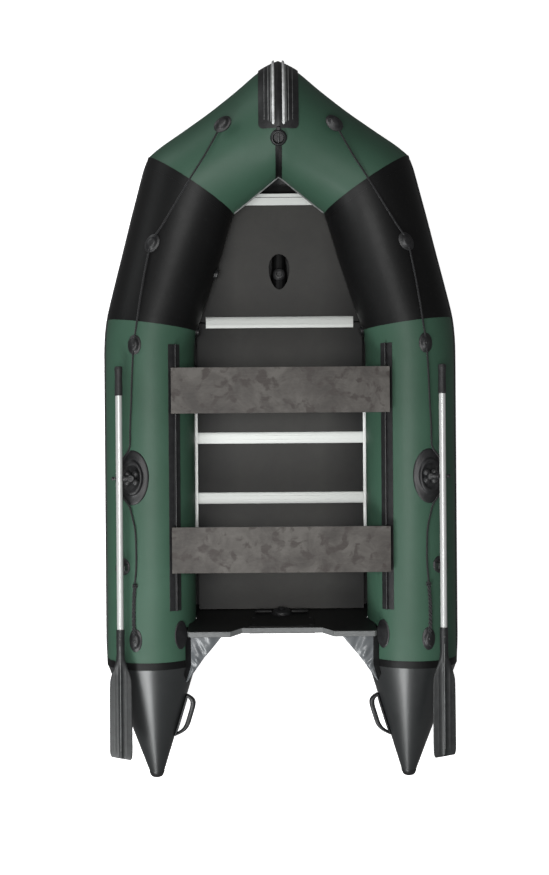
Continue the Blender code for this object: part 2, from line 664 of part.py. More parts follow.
def oar(side):
    """Shaft with grip and blade; the blade points aft when stowed."""
    name, x = side_name(side), OAR_X * side
    pivot = (x, ROWLOCK[1], OAR_Z)
    aft = Vector((0, -1, 0))
    y0, y1 = 0.160, -0.985
    prof = [(SHAFT_R - 0.0014, 0), (SHAFT_R, 0), (SHAFT_R, y0 - y1), (SHAFT_R - 0.0014, y0 - y1)]
    v, f = lathe(prof, 20, (x, y0, OAR_Z), aft)
    shaft = node(f"oar_shaft_{name}", v, f, ALU, 0.3, 0.9, at=pivot)
    v, f = lathe([(0, -0.03), (0.0057, -0.03), (0.0057, 0.03), (0, 0.03)], 16, pivot, (1, 0, 0))
    cut(shaft, node(f"pin_hole_cutter_{name}", v, f, ALU, 0.3))
    grip = [(SHAFT_R + 0.0004, 0.131), (0.0185, 0.131), (0.0175, 0.120), (0.0155, 0.100),
            (0.0172, 0.060), (0.0168, 0.030), (0.0185, 0.012), (0.0165, 0.001), (0.008, -0.002),
            (0, -0.002), (0, 0.108), (SHAFT_R + 0.0004, 0.108)]
    grip = [(0, 0.108), (SHAFT_R + 0.0004, 0.108), (SHAFT_R + 0.0004, 0.131), (0.0185, 0.131),
            (0.0178, 0.100), (0.0168, 0.060), (0.0172, 0.030), (0.0190, 0.012), (0.0165, 0.001),
            (0.008, -0.002), (0, -0.002)]
    v, f = lathe(grip, 16, (x, 0.269, OAR_Z), aft)
    node(f"oar_grip_{name}", v, f, BLACK, 0.6, at=pivot)
    blade(side, name, x, pivot)


def blade(side, name, x, pivot):
    n = 20
    angs = [2 * math.pi * k / n for k in range(n)]

    def ring_at(y, hw, ht, skew=0.0):
        pts = []
        for a in angs:
            ca, sa = math.cos(a), math.sin(a)
            rib = 1.0 if hw < 0.03 else (0.45 + 0.55 * math.exp(-(ca * hw / 0.010) ** 2))
            pts.append((x + hw * ca, y - skew * ca * side, OAR_Z + ht * sa * rib))
        return pts
    outer = [(-0.918, 0.0188, 0.0188, 0), (-0.985, 0.0188, 0.0188, 0), (-1.030, 0.0175, 0.0160, 0),
             (-1.090, 0.0300, 0.0120, 0), (-1.150, 0.0490, 0.0105, 0), (-1.300, 0.0510, 0.0100, 0),
             (-1.440, 0.0515, 0.0090, 0.004), (-1.488, 0.0500, 0.0075, -0.014),
             (-1.500, 0.0440, 0.0040, -0.014)]
    bore = [(-0.987, SHAFT_R + 0.0004), (-0.918, SHAFT_R + 0.0004)]
    rings = [[(x + r * math.cos(a), y, OAR_Z + r * math.sin(a)) for a in angs] for y, r in bore]
    rings += [ring_at(*p) for p in outer]
    v, f = loft(rings)
    node(f"oar_blade_{name}", v, f, (0.016, 0.016, 0.017), 0.4, at=pivot)


def oar_clips():
    """Pad with a rest that the oar's shaft lies on, open outboard."""
    x0 = 0.7255
    ang = math.degrees(math.asin((x0 - TUBE_X) / TUBE_R))

    def skin_z(x):
        return TUBE_R + math.sqrt(TUBE_R ** 2 - (x - TUBE_X) ** 2)
    for side in (-1, 1):
        v, f = pad_on(at_y(CLIP_Y), side, ang, 0.040, 0.040,
                      ((1.0, 0.0022), (0.85, 0.0050), (0.45, 0.0090), (0.3, 0.0100)), n=20)
        pad = node(f"oar_clip_{side_name(side)}", v, f, BLACK, 0.35)
        xr, zr = OAR_X, OAR_Z
        wall = xr - 0.0170
        sec = [(xr + 0.022, zr - 0.0188), (wall, zr - 0.0188), (wall, zr + 0.0090),
               (wall - 0.0055, zr + 0.0090), (wall - 0.0065, zr - 0.0080), (0.702, zr - 0.026),
               (0.701, skin_z(0.701) + 0.003), (wall, skin_z(wall) + 0.003), (wall, zr - 0.0265),
               (xr + 0.022, zr - 0.0245)]
        sec = [(px * side, pz) for px, pz in sec]
        v, f = prism(sec, "y", CLIP_Y - 0.013, CLIP_Y + 0.013)
        arm = node(f"clip_joiner_{side_name(side)}", v, f, BLACK, 0.4)
        arm.hide_render = True
        arm.display_type = "WIRE"
        b = pad.modifiers.new("join", "BOOLEAN")
        b.operation, b.solver, b.object = "UNION", "EXACT", arm


# ---- lifelines, handles, keel valve -----------------------------------------------
def over(x, y, lift):
    """A point at this height off the upper skin."""
    f, angle = locate(x, y)
    return on_frame(f, angle, TUBE_R + lift)


def lifelines():
    """Rope that runs from the bow along the tube to the stern."""
    r = 0.004
    plan = [(0.235, 1.350), (0.262, 1.318), (0.330, 1.205), (0.400, 1.105), (0.475, 0.990),
            (0.530, 0.905), (0.578, 0.831), (0.610, 0.700), (0.635, 0.560), (0.650, 0.460),
            (0.663, 0.371), (0.671, 0.250), (0.677, 0.100), (0.682, 0.000), (0.683, -0.060),
            (0.684, -0.095, 0.0100), (0.694, -0.122, 0.0135), (0.713, -0.147, 0.0140),
            (0.731, -0.172, 0.0140), (0.741, -0.203, 0.0140), (0.744, -0.236, 0.0140),
            (0.741, -0.269, 0.0140), (0.731, -0.300, 0.0140), (0.713, -0.325, 0.0140),
            (0.694, -0.350, 0.0135), (0.683, -0.377, 0.0100), (0.675, -0.415), (0.664, -0.465),
            (0.660, -0.520), (0.659, -0.620), (0.664, -0.700), (0.671, -0.800), (0.672, -0.900),
            (0.668, -0.976), (0.668, -1.010)]
    for side in (-1, 1):
        pts = [over(q[0], q[1], q[2] if len(q) > 2 else 0.0078) for q in plan]
        pts = [Vector((p.x * side, p.y, p.z)) for p in pts]
        rings = []
        for k, p in enumerate(pts):
            d = (pts[min(k + 1, len(pts) - 1)] - pts[max(k - 1, 0)]).normalized()
            s = d.cross(Vector((0, 0, 1))).normalized()
            u = s.cross(d)
            rings.append([p + (s * math.cos(2 * math.pi * j / 8) + u * math.sin(2 * math.pi * j / 8))
                          * r for j in range(8)])
        v, f = loft(rings)
        node(f"lifeline_{side_name(side)}", [tuple(q) for q in v], f, BLACK, 0.7)


def handles():
    """Carrying handle on the inner side of each stern cone, bowed away from it."""
    for side in (-1, 1):
        yc, z = -1.352, 0.235
        half = 0.094
        rings = []
        steps = 12
        for k in range(steps + 1):
            t = -1 + 2 * k / steps
            y = yc + half * t
            c = cone_centre(y)
            x_skin = c.x - cone_radius(y) - 0.0015
            arch = 1 - abs(t) ** 2.6
            x1 = x_skin - 0.004 - 0.051 * arch
            x0 = x_skin - 0.0002 - 0.040 * arch + 0.012 * (1 - abs(t))
            x0 = min(x0, x_skin)
            hz = 0.017 + 0.010 * abs(t) ** 2
            rings.append([(x0, y, z - hz), (x0, y, z + hz), (x1, y, z + hz * 0.8), (x1, y, z - hz * 0.8)])
        v, f = loft(rings)
        node(f"stern_handle_{side_name(side)}", mirror(v, side), f, BLACK, 0.35)


def keel_valve():
    """Inflation valve of the air keel under the hole in the bow board, and its screw cap."""
    y, z = 0.725, 0.0935
    v, f = lathe([(0.0095, 0.0), (0.030, 0.0), (0.030, 0.003), (0.021, 0.006), (0.021, 0.016),
                  (0.0095, 0.016)], 20, (0, y, z))
    node("keel_valve", v, f, BLACK, 0.35)
    v, f = lathe([(0, 0.004), (0.0088, 0.004), (0.0088, 0.0166), (0.0225, 0.0166), (0.0225, 0.0230),
                  (0.0190, 0.0250), (0, 0.0250)], 20, (0, y, z))
    node("keel_valve_cap", v, f, BLACK, 0.3, at=(0, y, z))


def main():
    clear_scene()
    tubes()
    cones()
    bottom()
    strakes()
    bow_patch()
    bow_eye()
    floor()
    transom()
    transom_holders()
    gussets()
    drain()
    seat_rails()
    seats()
    rowlocks()
    oar_clips()
    lifelines()
    handles()
    keel_valve()
    for o in bpy.data.objects:
        if o.parent is None:
            o.location.y += SHIFT_Y
    bpy.context.view_layer.update()


main()
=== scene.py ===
"""Looks for the inflatable dinghy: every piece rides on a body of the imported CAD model."""
from math import asin, copysign, cos, degrees, exp, pi, radians, sin, sqrt, tan

import bpy
import bmesh
import numpy as np
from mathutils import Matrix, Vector


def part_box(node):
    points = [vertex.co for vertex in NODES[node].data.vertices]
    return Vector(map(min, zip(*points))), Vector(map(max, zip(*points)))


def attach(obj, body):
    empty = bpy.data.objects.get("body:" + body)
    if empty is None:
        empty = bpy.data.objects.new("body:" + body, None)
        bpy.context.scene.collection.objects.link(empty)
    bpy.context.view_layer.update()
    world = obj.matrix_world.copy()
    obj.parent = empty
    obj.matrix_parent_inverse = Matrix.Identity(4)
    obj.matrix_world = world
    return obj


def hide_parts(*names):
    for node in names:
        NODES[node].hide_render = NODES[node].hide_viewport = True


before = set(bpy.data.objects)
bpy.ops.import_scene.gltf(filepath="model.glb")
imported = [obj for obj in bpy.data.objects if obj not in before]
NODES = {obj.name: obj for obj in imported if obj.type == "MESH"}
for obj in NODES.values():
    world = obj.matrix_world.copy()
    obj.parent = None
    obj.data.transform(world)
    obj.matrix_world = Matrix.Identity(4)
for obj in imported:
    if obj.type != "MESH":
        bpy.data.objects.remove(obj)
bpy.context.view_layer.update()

# ---- dimensions repeated from the CAD source, in metres ----
D = -0.0105                # the hull's shift along Y
R, TX = 0.2075, 0.611      # tube radius, and x of the side tubes' centreline
CONE_Y, CONE_END, TIP_X, TIP_R, TIP_Z = -1.1125, -1.64, 0.588, 0.034, 0.245
FLOOR = 0.11
RAKE, TRANSOM_Y = radians(9.6), -0.879
BOARD_OUT = Vector((0, cos(RAKE), sin(RAKE)))   # square to the transom, towards the bow
RISE, RISE_FROM, RISE_RUN, RISE_POWER = 0.195, 0.5, 0.889, 2.6
BOTTOM_AFT = -0.915        # aft edge of the bottom panel
OAR_X, OAR_Z, PIVOT_Y = 0.73, 0.457, -0.236
ROWLOCK_X, CLIP_Y = 0.677, -0.642
DRAIN_Z = 0.168
HANDLE_Y, HANDLE_Z, HANDLE_HALF = -1.352, 0.235, 0.094
GUSSET_EDGE = ((0.25, 0.0, 0.302), (0.308, -0.072, 0.3), (0.362, -0.135, 0.3),
    (0.405, -0.195, 0.3), (0.44, -0.245, 0.3))   # x, y aft of the board, z
SIDES = 120                # facets round a tube
PAIR = ((-1, "left"), (1, "right"))
STATIONS = (((0.8185, CONE_Y), (0.4035, CONE_Y)), ((0.8185, 0.39), (0.4035, 0.38)),
    ((0.8085, 0.5), (0.3935, 0.443)), ((0.762, 0.683), (0.347, 0.574)),
    ((0.687, 0.965), (0.274, 0.79)), ((0.636, 1.14), (0.233, 0.92)),
    ((0.604, 1.243), (0.212, 0.983)), ((0.562, 1.28), (0.2, 0.991)),
    ((0.47, 1.337), (0.165, 1.016)), ((0.315, 1.437), (0.11, 1.055)),
    ((0.177, 1.537), (0.06, 1.089)), ((0.079, 1.617), (0.025, 1.113)),
    ((0.0, 1.6448), (0.0, 1.13)))
SEAM_TWO, SEAM_ONE = 2, 6


# ---- camera, lights, stage ----
def new_object(name, data):
    o = bpy.data.objects.new(name, data)
    bpy.context.collection.objects.link(o)
    return o


def stage():
    """The camera straight above, three soft lamps, and a pale floor that runs up into walls."""
    cam = bpy.data.cameras.new("camera")
    cam.lens, cam.sensor_width, cam.clip_end = 52.45, 36.0, 120
    o = new_object("camera", cam)
    o.location = (-0.028, -0.0665, 6.21)
    o.rotation_euler = (0, 0, radians(-0.44))
    bpy.context.scene.camera = o

    def lamp(name, at, look, size, power, colour=(1, 1, 1)):
        d = bpy.data.lights.new(name, "AREA")
        d.shape, d.size, d.size_y, d.energy, d.color = "RECTANGLE", size[0], size[1], power, colour
        lo = new_object(name, d)
        lo.location = at
        lo.rotation_euler = (Vector(look) - Vector(at)).to_track_quat("-Z", "Y").to_euler()
        lo.visible_camera = False
    lamp("top", (-0.35, -0.3, 4.9), (0, -0.1, 0), (1.9, 1.9), 98, (1.0, 1.0, 0.99))
    lamp("aft_top", (-1.75, -3.1, 3.4), (-0.2, -1.3, 0.2), (2.7, 1.2), 135, (0.98, 1.0, 1.0))
    lamp("bow_left", (-3.4, 2.9, 1.5), (-0.4, 1.1, 0.2), (2.4, 1.6), 36, (0.97, 1.0, 1.0))
    world = bpy.data.worlds.new("studio")
    world.use_nodes = True
    world.node_tree.nodes["Background"].inputs["Color"].default_value = (1, 1, 1, 1)
    world.node_tree.nodes["Background"].inputs["Strength"].default_value = 0.14
    sc = bpy.context.scene
    sc.world = world
    sc.view_settings.view_transform = "Standard"
    sc.view_settings.look = "None"
    me = bpy.data.meshes.new("floor_sheet")
    ring = ((-28, -28), (28, -28), (28, 28), (-28, 28))
    me.from_pydata([(x, y, z) for z in (-0.002, 40.0) for x, y in ring], [], [(0, 1, 2, 3)] +
        [(k, (k + 1) % 4, (k + 1) % 4 + 4, k + 4) for k in range(4)])
    f = new_object("floor_sheet", me)
    m = bpy.data.materials.new("floor_white")
    m.use_nodes = True
    b = m.node_tree.nodes["Principled BSDF"]
    b.inputs["Base Color"].default_value = (0.8, 0.8, 0.8, 1)
    b.inputs["Roughness"].default_value = 0.9
    b.inputs["Emission Color"].default_value = (1, 1, 1, 1)
    b.inputs["Emission Strength"].default_value = 0.9
    f.visible_glossy = f.visible_diffuse = False
    me.materials.append(m)


stage()


# ---- materials ----
class Graph:
    """Small helper that wires a node material."""

    def __init__(self, name, rough, metal=0.0, spec=0.5, coat=0.0, coat_rough=0.1, sheen=0.0):
        self.m = bpy.data.materials.new(name)
        self.m.use_nodes = True
        self.t = self.m.node_tree
        self.b = self.t.nodes["Principled BSDF"]
        for key, value in (("Roughness", rough), ("Metallic", metal), ("Specular IOR Level", spec),
                           ("Coat Weight", coat), ("Coat Roughness", coat_rough),
                           ("Sheen Weight", sheen)):
            self.b.inputs[key].default_value = value
        self.co = self.t.nodes.new("ShaderNodeTexCoord").outputs["Object"]

    def link(self, a, b):
        self.t.links.new(a, b)

    def scaled(self, scale):
        n = self.t.nodes.new("ShaderNodeMapping")
        n.inputs["Scale"].default_value = scale if hasattr(scale, "__len__") else (scale,) * 3
        self.link(self.co, n.inputs["Vector"])
        return n.outputs["Vector"]

    def noise(self, scale, detail=3.0, rough=0.55, distort=0.0, stretch=None):
        n = self.t.nodes.new("ShaderNodeTexNoise")
        n.inputs["Scale"].default_value = scale
        n.inputs["Detail"].default_value = detail
        n.inputs["Roughness"].default_value = rough
        n.inputs["Distortion"].default_value = distort
        self.link(self.scaled(stretch) if stretch else self.co, n.inputs["Vector"])
        return n.outputs["Fac"]

    def wave(self, scale, axis="X", profile="SIN", distort=0.0):
        n = self.t.nodes.new("ShaderNodeTexWave")
        n.bands_direction, n.wave_profile = axis, profile
        n.inputs["Scale"].default_value = scale
        n.inputs["Distortion"].default_value = distort
        self.link(self.co, n.inputs["Vector"])
        return n.outputs["Fac"]

    def cells(self, scale, kind="F1", stretch=None):
        n = self.t.nodes.new("ShaderNodeTexVoronoi")
        n.feature = kind
        n.inputs["Scale"].default_value = scale
        self.link(self.scaled(stretch) if stretch else self.co, n.inputs["Vector"])
        return n.outputs["Distance"]

    def ramp(self, fac, stops):
        n = self.t.nodes.new("ShaderNodeValToRGB")
        e = n.color_ramp.elements
        while len(e) < len(stops):
            e.new(0.5)
        for k, (pos, c) in enumerate(stops):
            e[k].position = pos
            e[k].color = (*c, 1) if hasattr(c, "__len__") else (c, c, c, 1)
        self.link(fac, n.inputs["Fac"])
        return n.outputs["Color"]

    def math(self, op, a, b=0.5, c=None):
        n = self.t.nodes.new("ShaderNodeMath")
        n.operation = op
        for k, v in enumerate((a, b, c)):
            if v is None:
                continue
            if isinstance(v, (int, float)):
                n.inputs[k].default_value = v
            else:
                self.link(v, n.inputs[k])
        return n.outputs[0]

    def mix(self, fac, a, b, blend="MIX"):
        n = self.t.nodes.new("ShaderNodeMix")
        n.data_type, n.blend_type = "RGBA", blend
        for key, v in ((0, fac), (6, a), (7, b)):
            if isinstance(v, (int, float)):
                n.inputs[key].default_value = v
            elif isinstance(v, tuple):
                n.inputs[key].default_value = (*v, 1)
            else:
                self.link(v, n.inputs[key])
        return n.outputs[2]

    def colour(self, c):
        self.link(c, self.b.inputs["Base Color"])

    def rough(self, low, high, fac):
        n = self.t.nodes.new("ShaderNodeMapRange")
        n.inputs["To Min"].default_value, n.inputs["To Max"].default_value = low, high
        self.link(fac, n.inputs["Value"])
        self.link(n.outputs[0], self.b.inputs["Roughness"])

    def bump(self, *layers):
        """Each layer is (height, strength, distance)."""
        last = None
        for h, strength, dist in layers:
            n = self.t.nodes.new("ShaderNodeBump")
            n.inputs["Strength"].default_value = strength
            n.inputs["Distance"].default_value = dist
            self.link(h, n.inputs["Height"])
            if last:
                self.link(last, n.inputs["Normal"])
            last = n.outputs["Normal"]
        self.link(last, self.b.inputs["Normal"])
        return self.m

    def weave(self, pitch):
        """Fine crossed threads on any surface, from three crossed waves."""
        k = 2 * pi / pitch / 20
        a, b, c = (self.wave(k, ax) for ax in "XYZ")
        return self.math("ADD", self.math("MULTIPLY", a, b), self.math("MULTIPLY", c, 0.6))


def coated_fabric(name, dark, light, rough, coat=0.0, spec=0.35):
    g = Graph(name, rough, coat=coat, coat_rough=0.25, spec=spec)
    big = g.noise(2.2, 4, 0.6)
    mid = g.noise(26, 4, 0.6)
    c = g.ramp(big, [(0.25, dark), (0.75, light)])
    dusty = g.ramp(g.noise(60, 6, 0.7), [(0.55, 0.0), (0.78, 0.1)])
    c = g.mix(dusty, c, tuple(0.6 * x + 0.06 for x in light))
    g.colour(c)
    g.rough(rough - 0.05, rough + 0.08, mid)
    return g.bump((g.weave(0.0022), 0.1, 0.0003), (g.noise(9, 3, 0.5), 0.22, 0.004),
        (g.noise(420, 2, 0.5), 0.08, 0.0004))


def moulded(name, base, rough, grain=900, coat=0.0, spec=0.5):
    g = Graph(name, rough, coat=coat, coat_rough=0.2, spec=spec)
    worn = g.ramp(g.noise(35, 5, 0.65), [(0.35, base), (0.8, tuple(1.8 * x + 0.006
        for x in base))])
    g.colour(worn)
    g.rough(rough - 0.06, rough + 0.1, g.noise(70, 4, 0.6))
    return g.bump((g.cells(grain), 0.12, 0.0004), (g.noise(40, 3, 0.5), 0.12, 0.0015))


def metal(name, base, axis_stretch, rough=0.3):
    g = Graph(name, rough, metal=0.3)
    streak = g.noise(60, 3, 0.6, stretch=axis_stretch)
    g.colour(g.ramp(streak, [(0.3, tuple(0.86 * x for x in base)), (0.7, base)]))
    g.rough(rough - 0.06, rough + 0.12, streak)
    return g.bump((streak, 0.1, 0.0004), (g.noise(500, 2, 0.5), 0.05, 0.0003))


def seat_board():
    g = Graph("seat_film", 0.48, spec=0.4)
    big = g.noise(7, 5, 0.62, 0.6)
    fibre = g.noise(30, 6, 0.7, 0.3, stretch=(1.0, 5.0, 5.0))
    c = g.ramp(big, [(0.34, (0.034, 0.028, 0.024)), (0.5, (0.066, 0.058, 0.052)),
        (0.66, (0.112, 0.103, 0.094))])
    spot = g.ramp(g.noise(19, 4, 0.5, 0.4), [(0.53, 0.0), (0.62, 0.85)])
    c = g.mix(spot, c, (0.03, 0.021, 0.018))
    c = g.mix(g.ramp(fibre, [(0.45, 0.0), (0.8, 0.3)]), c, (0.125, 0.115, 0.105))
    g.colour(c)
    g.rough(0.4, 0.62, big)
    return g.bump((fibre, 0.18, 0.0006), (g.noise(220, 4, 0.6), 0.12, 0.0004))


def floor_board():
    """Film-faced board with the fine wire-mesh print that keeps feet from slipping."""
    g = Graph("floor_film", 0.55, spec=0.35)
    big = g.noise(4.5, 5, 0.6, 0.4)
    c = g.ramp(big, [(0.3, (0.03, 0.029, 0.027)), (0.7, (0.05, 0.048, 0.045))])
    scuff = g.ramp(g.noise(45, 6, 0.7, 0.5, stretch=(1, 3, 1)), [(0.6, 0.0), (0.8, 0.35)])
    c = g.mix(scuff, c, (0.1, 0.095, 0.088))
    # painted shade: the board's colour goes near black towards its outer edges, by distance from
    # the centreline with a little noise, standing for the shade the tubes cast on the floor
    sep = g.t.nodes.new("ShaderNodeSeparateXYZ")
    g.link(g.co, sep.inputs[0])
    tube_shade_mask = g.math("MULTIPLY_ADD", g.noise(6, 4, 0.6), 0.1, g.math("ABSOLUTE", sep.outputs["X"]))
    g.colour(g.mix(g.ramp(tube_shade_mask, [(0.25, 0.0), (0.44, 1.0)]), c, (0.0045, 0.0045, 0.0045)))
    g.rough(0.48, 0.68, big)
    grid = g.math("MAXIMUM", g.wave(2 * pi / 0.0045 / 20, "X"), g.wave(2 * pi / 0.0045 / 20, "Y"))
    return g.bump((grid, 0.22, 0.0004), (g.noise(150, 4, 0.6), 0.1, 0.0005))


def transom_board():
    g = Graph("transom_film", 0.5, spec=0.4)
    big = g.noise(8, 5, 0.6, 0.3)
    c = g.ramp(big, [(0.3, (0.005, 0.005, 0.005)), (0.7, (0.01, 0.01, 0.01))])
    sep = g.t.nodes.new("ShaderNodeSeparateXYZ")
    nrm = g.t.nodes.new("ShaderNodeNewGeometry")
    g.link(nrm.outputs["Normal"], sep.inputs[0])
    up = g.ramp(sep.outputs["Z"], [(0.4, 0.0), (0.62, 1.0)])
    cap = g.ramp(g.noise(60, 5, 0.7, stretch=(1, 4, 1)), [(0.3, (0.11, 0.114, 0.115)),
        (0.7, (0.19, 0.194, 0.194))])
    g.colour(g.mix(up, c, cap))
    g.rough(0.42, 0.6, big)
    return g.bump((g.noise(200, 4, 0.6), 0.15, 0.0006), (g.noise(20, 4, 0.6), 0.1, 0.001))


def braid():
    g = Graph("rope_braid", 0.7, spec=0.3, sheen=0.2)
    g.colour(g.ramp(g.noise(400, 3, 0.6), [(0.3, (0.01, 0.01, 0.011)),
        (0.8, (0.035, 0.035, 0.038))]))
    a = g.wave(2 * pi / 0.006 / 20, "DIAGONAL")
    return g.bump((a, 0.9, 0.0012), (g.cells(600), 0.3, 0.0006))


GREEN = coated_fabric("pvc_green", (0.038, 0.091, 0.059), (0.051, 0.117, 0.079), 0.5, 0.04)
BLACK = coated_fabric("pvc_black", (0.0032, 0.0032, 0.0034), (0.0065, 0.0065, 0.0068), 0.46, 0.03,
    0.24)
CONE = coated_fabric("pvc_black_gloss", (0.013, 0.0145, 0.015), (0.024, 0.026, 0.027), 0.38, 0.55,
    0.6)
GREY = coated_fabric("pvc_grey", (0.1, 0.108, 0.115), (0.17, 0.18, 0.19), 0.3, 0.3, 0.5)
INNER = coated_fabric("pvc_inner", (0.17, 0.18, 0.17), (0.22, 0.23, 0.22), 0.6)
RUBBER = moulded("rubber_black", (0.01, 0.01, 0.011), 0.42)
RUBBER_SOFT = moulded("rubber_strake", (0.014, 0.014, 0.015), 0.55)
BLADE = moulded("plastic_blade", (0.012, 0.013, 0.0135), 0.42, 1500, 0.05, 0.4)
PLASTIC = moulded("plastic_black", (0.011, 0.011, 0.012), 0.36, 1500, 0.1)
PLATE = moulded("plastic_matt", (0.0045, 0.0045, 0.0047), 0.5, 1500, 0.0, 0.3)
WHITE_RIB = moulded("rib_white", (0.62, 0.63, 0.63), 0.38)
GREY_RIB = moulded("rib_grey", (0.16, 0.165, 0.165), 0.42)
ALU_X = metal("aluminium_x", (0.7, 0.72, 0.7), (1, 18, 18), 0.42)
ALU_Y = metal("aluminium_y", (0.7, 0.71, 0.7), (18, 1, 18))
STEEL = metal("steel", (0.085, 0.085, 0.086), (1, 1, 6), 0.3)
SEAT = seat_board()
BOARD = floor_board()
TRANSOM = transom_board()
ROPE = braid()


# ---- mesh helpers ----
def shade(me, smooth):
    me.polygons.foreach_set("use_smooth", [True] * len(me.polygons))
    me.set_sharp_from_angle(angle=radians(smooth))


def round_edges(o, width, segments, angle):
    if width:
        m = o.modifiers.new("edge", "BEVEL")
        m.width, m.segments, m.limit_method = width, segments, "ANGLE"
        m.angle_limit, m.harden_normals = radians(angle), False


def piece(name, shape, mat, body="hull", reps=(), smooth=35, shift=True,
          bevel=0.0):
    """A mesh from shape, (points, faces), that rides on body and stands for the nodes in reps."""
    verts, faces = shape
    me = bpy.data.meshes.new(name)
    dy = D if shift else 0.0
    me.from_pydata([(float(v[0]), float(v[1]) + dy, float(v[2])) for v in verts], [],
        [tuple(int(i) for i in f) for f in faces])
    bm = bmesh.new()
    bm.from_mesh(me)
    bmesh.ops.recalc_face_normals(bm, faces=bm.faces)
    bm.to_mesh(me)
    bm.free()
    shade(me, smooth)
    o = new_object(name, me)
    me.materials.append(mat)
    round_edges(o, bevel, 3, 35)
    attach(o, body)
    if reps:
        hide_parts(*reps)
    return o


def loft(rings, caps=True):
    """Closed rings of equally many points joined in a row."""
    n, m = len(rings[0]), len(rings)
    verts = [p for r in rings for p in r]
    faces = []
    for a in range(0, (m - 1) * n, n):
        b = a + n
        faces += [(a + i, a + (i + 1) % n, b + (i + 1) % n, b + i) for i in range(n)]
    if caps:
        faces += [tuple(range(n)), tuple((m - 1) * n + i for i in reversed(range(n)))]
    return verts, faces


def sheet_of(grid, thick):
    """A rectangular grid of points as a closed sheet that thick."""
    rows, cols = len(grid), len(grid[0])
    verts = [Vector(p) for r in grid for p in r]
    faces = [(i * cols + j, i * cols + j + 1, (i + 1) * cols + j + 1, (i + 1) * cols + j)
        for i in range(rows - 1) for j in range(cols - 1)]
    n = len(verts)
    low = []
    for i in range(rows):
        for j in range(cols):
            du = verts[i * cols + min(j + 1, cols - 1)] - verts[i * cols + max(j - 1, 0)]
            dv = verts[min(i + 1, rows - 1) * cols + j] - verts[max(i - 1, 0) * cols + j]
            nn = du.cross(dv).normalized()
            low.append(verts[i * cols + j] - nn * thick)
    faces += [tuple(n + k for k in reversed(f)) for f in faces]
    edge = list(range(cols)) + [i * cols + cols - 1 for i in range(1, rows)]
    edge += [(rows - 1) * cols + j for j in range(cols - 2, -1, -1)]
    edge += [i * cols for i in range(rows - 2, 0, -1)]
    faces += [(a, n + a, n + b, b) for a, b in zip(edge, edge[1:] + edge[:1])]
    return verts + low, faces


def lathe(profile, n, at=(0, 0, 0), axis=(0, 0, 1)):
    q = Vector((0, 0, 1)).rotation_difference(Vector(axis).normalized())
    verts, faces, rings = [], [], []
    for r, h in profile:
        k = len(verts)
        ring = [(0, 0, h)] if r == 0 else [(r * cos(2 * pi * i / n), r * sin(2 * pi * i / n), h)
            for i in range(n)]
        verts += [tuple(q @ Vector(p) + Vector(at)) for p in ring]
        rings.append(list(range(k, k + len(ring))))
    pairs = list(zip(rings, rings[1:]))
    if profile[0][0] and profile[-1][0]:
        pairs.append((rings[-1], rings[0]))
    for a, b in pairs:
        for i in range(n):
            j = (i + 1) % n
            if len(a) == 1:
                faces.append((a[0], b[j], b[i]))
            elif len(b) == 1:
                faces.append((a[i], a[j], b[0]))
            else:
                faces.append((a[i], a[j], b[j], b[i]))
    return verts, faces


def tube_along(points, radius, n=12, up=(0, 0, 1)):
    """A round bar along points, capped; radius is a number or one per point."""
    pts = [Vector(p) for p in points]
    rings = []
    for k, p in enumerate(pts):
        d = (pts[min(k + 1, len(pts) - 1)] - pts[max(k - 1, 0)]).normalized()
        s = d.cross(Vector(up)).normalized()
        u = s.cross(d)
        r = radius[k] if hasattr(radius, "__len__") else radius
        rings.append([p + (s * cos(2 * pi * j / n) + u * sin(2 * pi * j / n)) * r
            for j in range(n)])
    return loft(rings)


def smooth_line(points, per=6):
    """Catmull-Rom through points."""
    p = [Vector(q) for q in points]
    p = [p[0] * 2 - p[1]] + p + [p[-1] * 2 - p[-2]]
    out = []
    for a, b, c, d in zip(p, p[1:], p[2:], p[3:]):
        for k in range(per):
            t = k / per
            out.append(0.5 * ((2 * b) + (c - a) * t + (2 * a - 5 * b + 4 * c - d) * t * t +
                (3 * b - a - 3 * c + d) * t ** 3))
    return out + [p[-2]]


def mm(*pairs):
    return [(a / 1000, b / 1000) for a, b in pairs]


def mir(shape, side):
    """The same shape on the given side."""
    return [(v[0] * side, v[1], v[2]) for v in shape[0]], shape[1]


# ---- the run of the tubes ----
def rise(y):
    """Height of the tubes' centreline: level aft, then curving up to the bow."""
    return R + RISE * max(0.0, (y - RISE_FROM) / RISE_RUN) ** RISE_POWER


def dense_run():
    """Close-set frames (centre, half width in radii, up), and the index of each seam."""
    def line(k0, k1):
        pts = []
        for a, b in zip(STATIONS[k0:k1], STATIONS[k0 + 1:k1 + 1]):
            a, b = (np.array([*s[0], *s[1]]) for s in (a, b))
            n = max(1, int(round(np.linalg.norm((b - a)[:2]) / 0.01)))
            pts += [a + (b - a) * k / n for k in range(n)]
        pts.append(np.array([*STATIONS[k1][0], *STATIONS[k1][1]]))
        pts = np.array(pts)
        w = 5
        kern = np.exp(-0.5 * (np.arange(-2 * w, 2 * w + 1) / w * 1.3) ** 2)
        kern /= kern.sum()
        pad = np.concatenate([2 * pts[0] - pts[1:2 * w + 1][::-1], pts, 2 * pts[-1] -
            pts[-2 * w - 1:-1][::-1]])
        return np.stack([np.convolve(pad[:, c], kern, "valid") for c in range(4)], 1)
    aft = line(0, SEAM_ONE)
    fore = line(SEAM_ONE, len(STATIONS) - 1)
    run = np.concatenate([aft, fore[1:]])
    out = []
    for ox, oy, ix, iy in run:
        c = Vector(((ox + ix) / 2, (oy + iy) / 2, 0))
        c.z = rise(c.y)
        out.append((c, Vector((ox - ix, oy - iy, 0)) / (2 * R), Vector((0, 0, 1))))
    two = min(range(len(aft)), key=lambda k: abs(aft[k, 1] - STATIONS[2][0][1]))
    return out, two, len(aft) - 1


RUN, I_TWO, I_ONE = dense_run()


def at(f, angle, r):
    c, o, u = f
    a = radians(angle)
    return c + o * (r * sin(a)) + u * (r * cos(a))


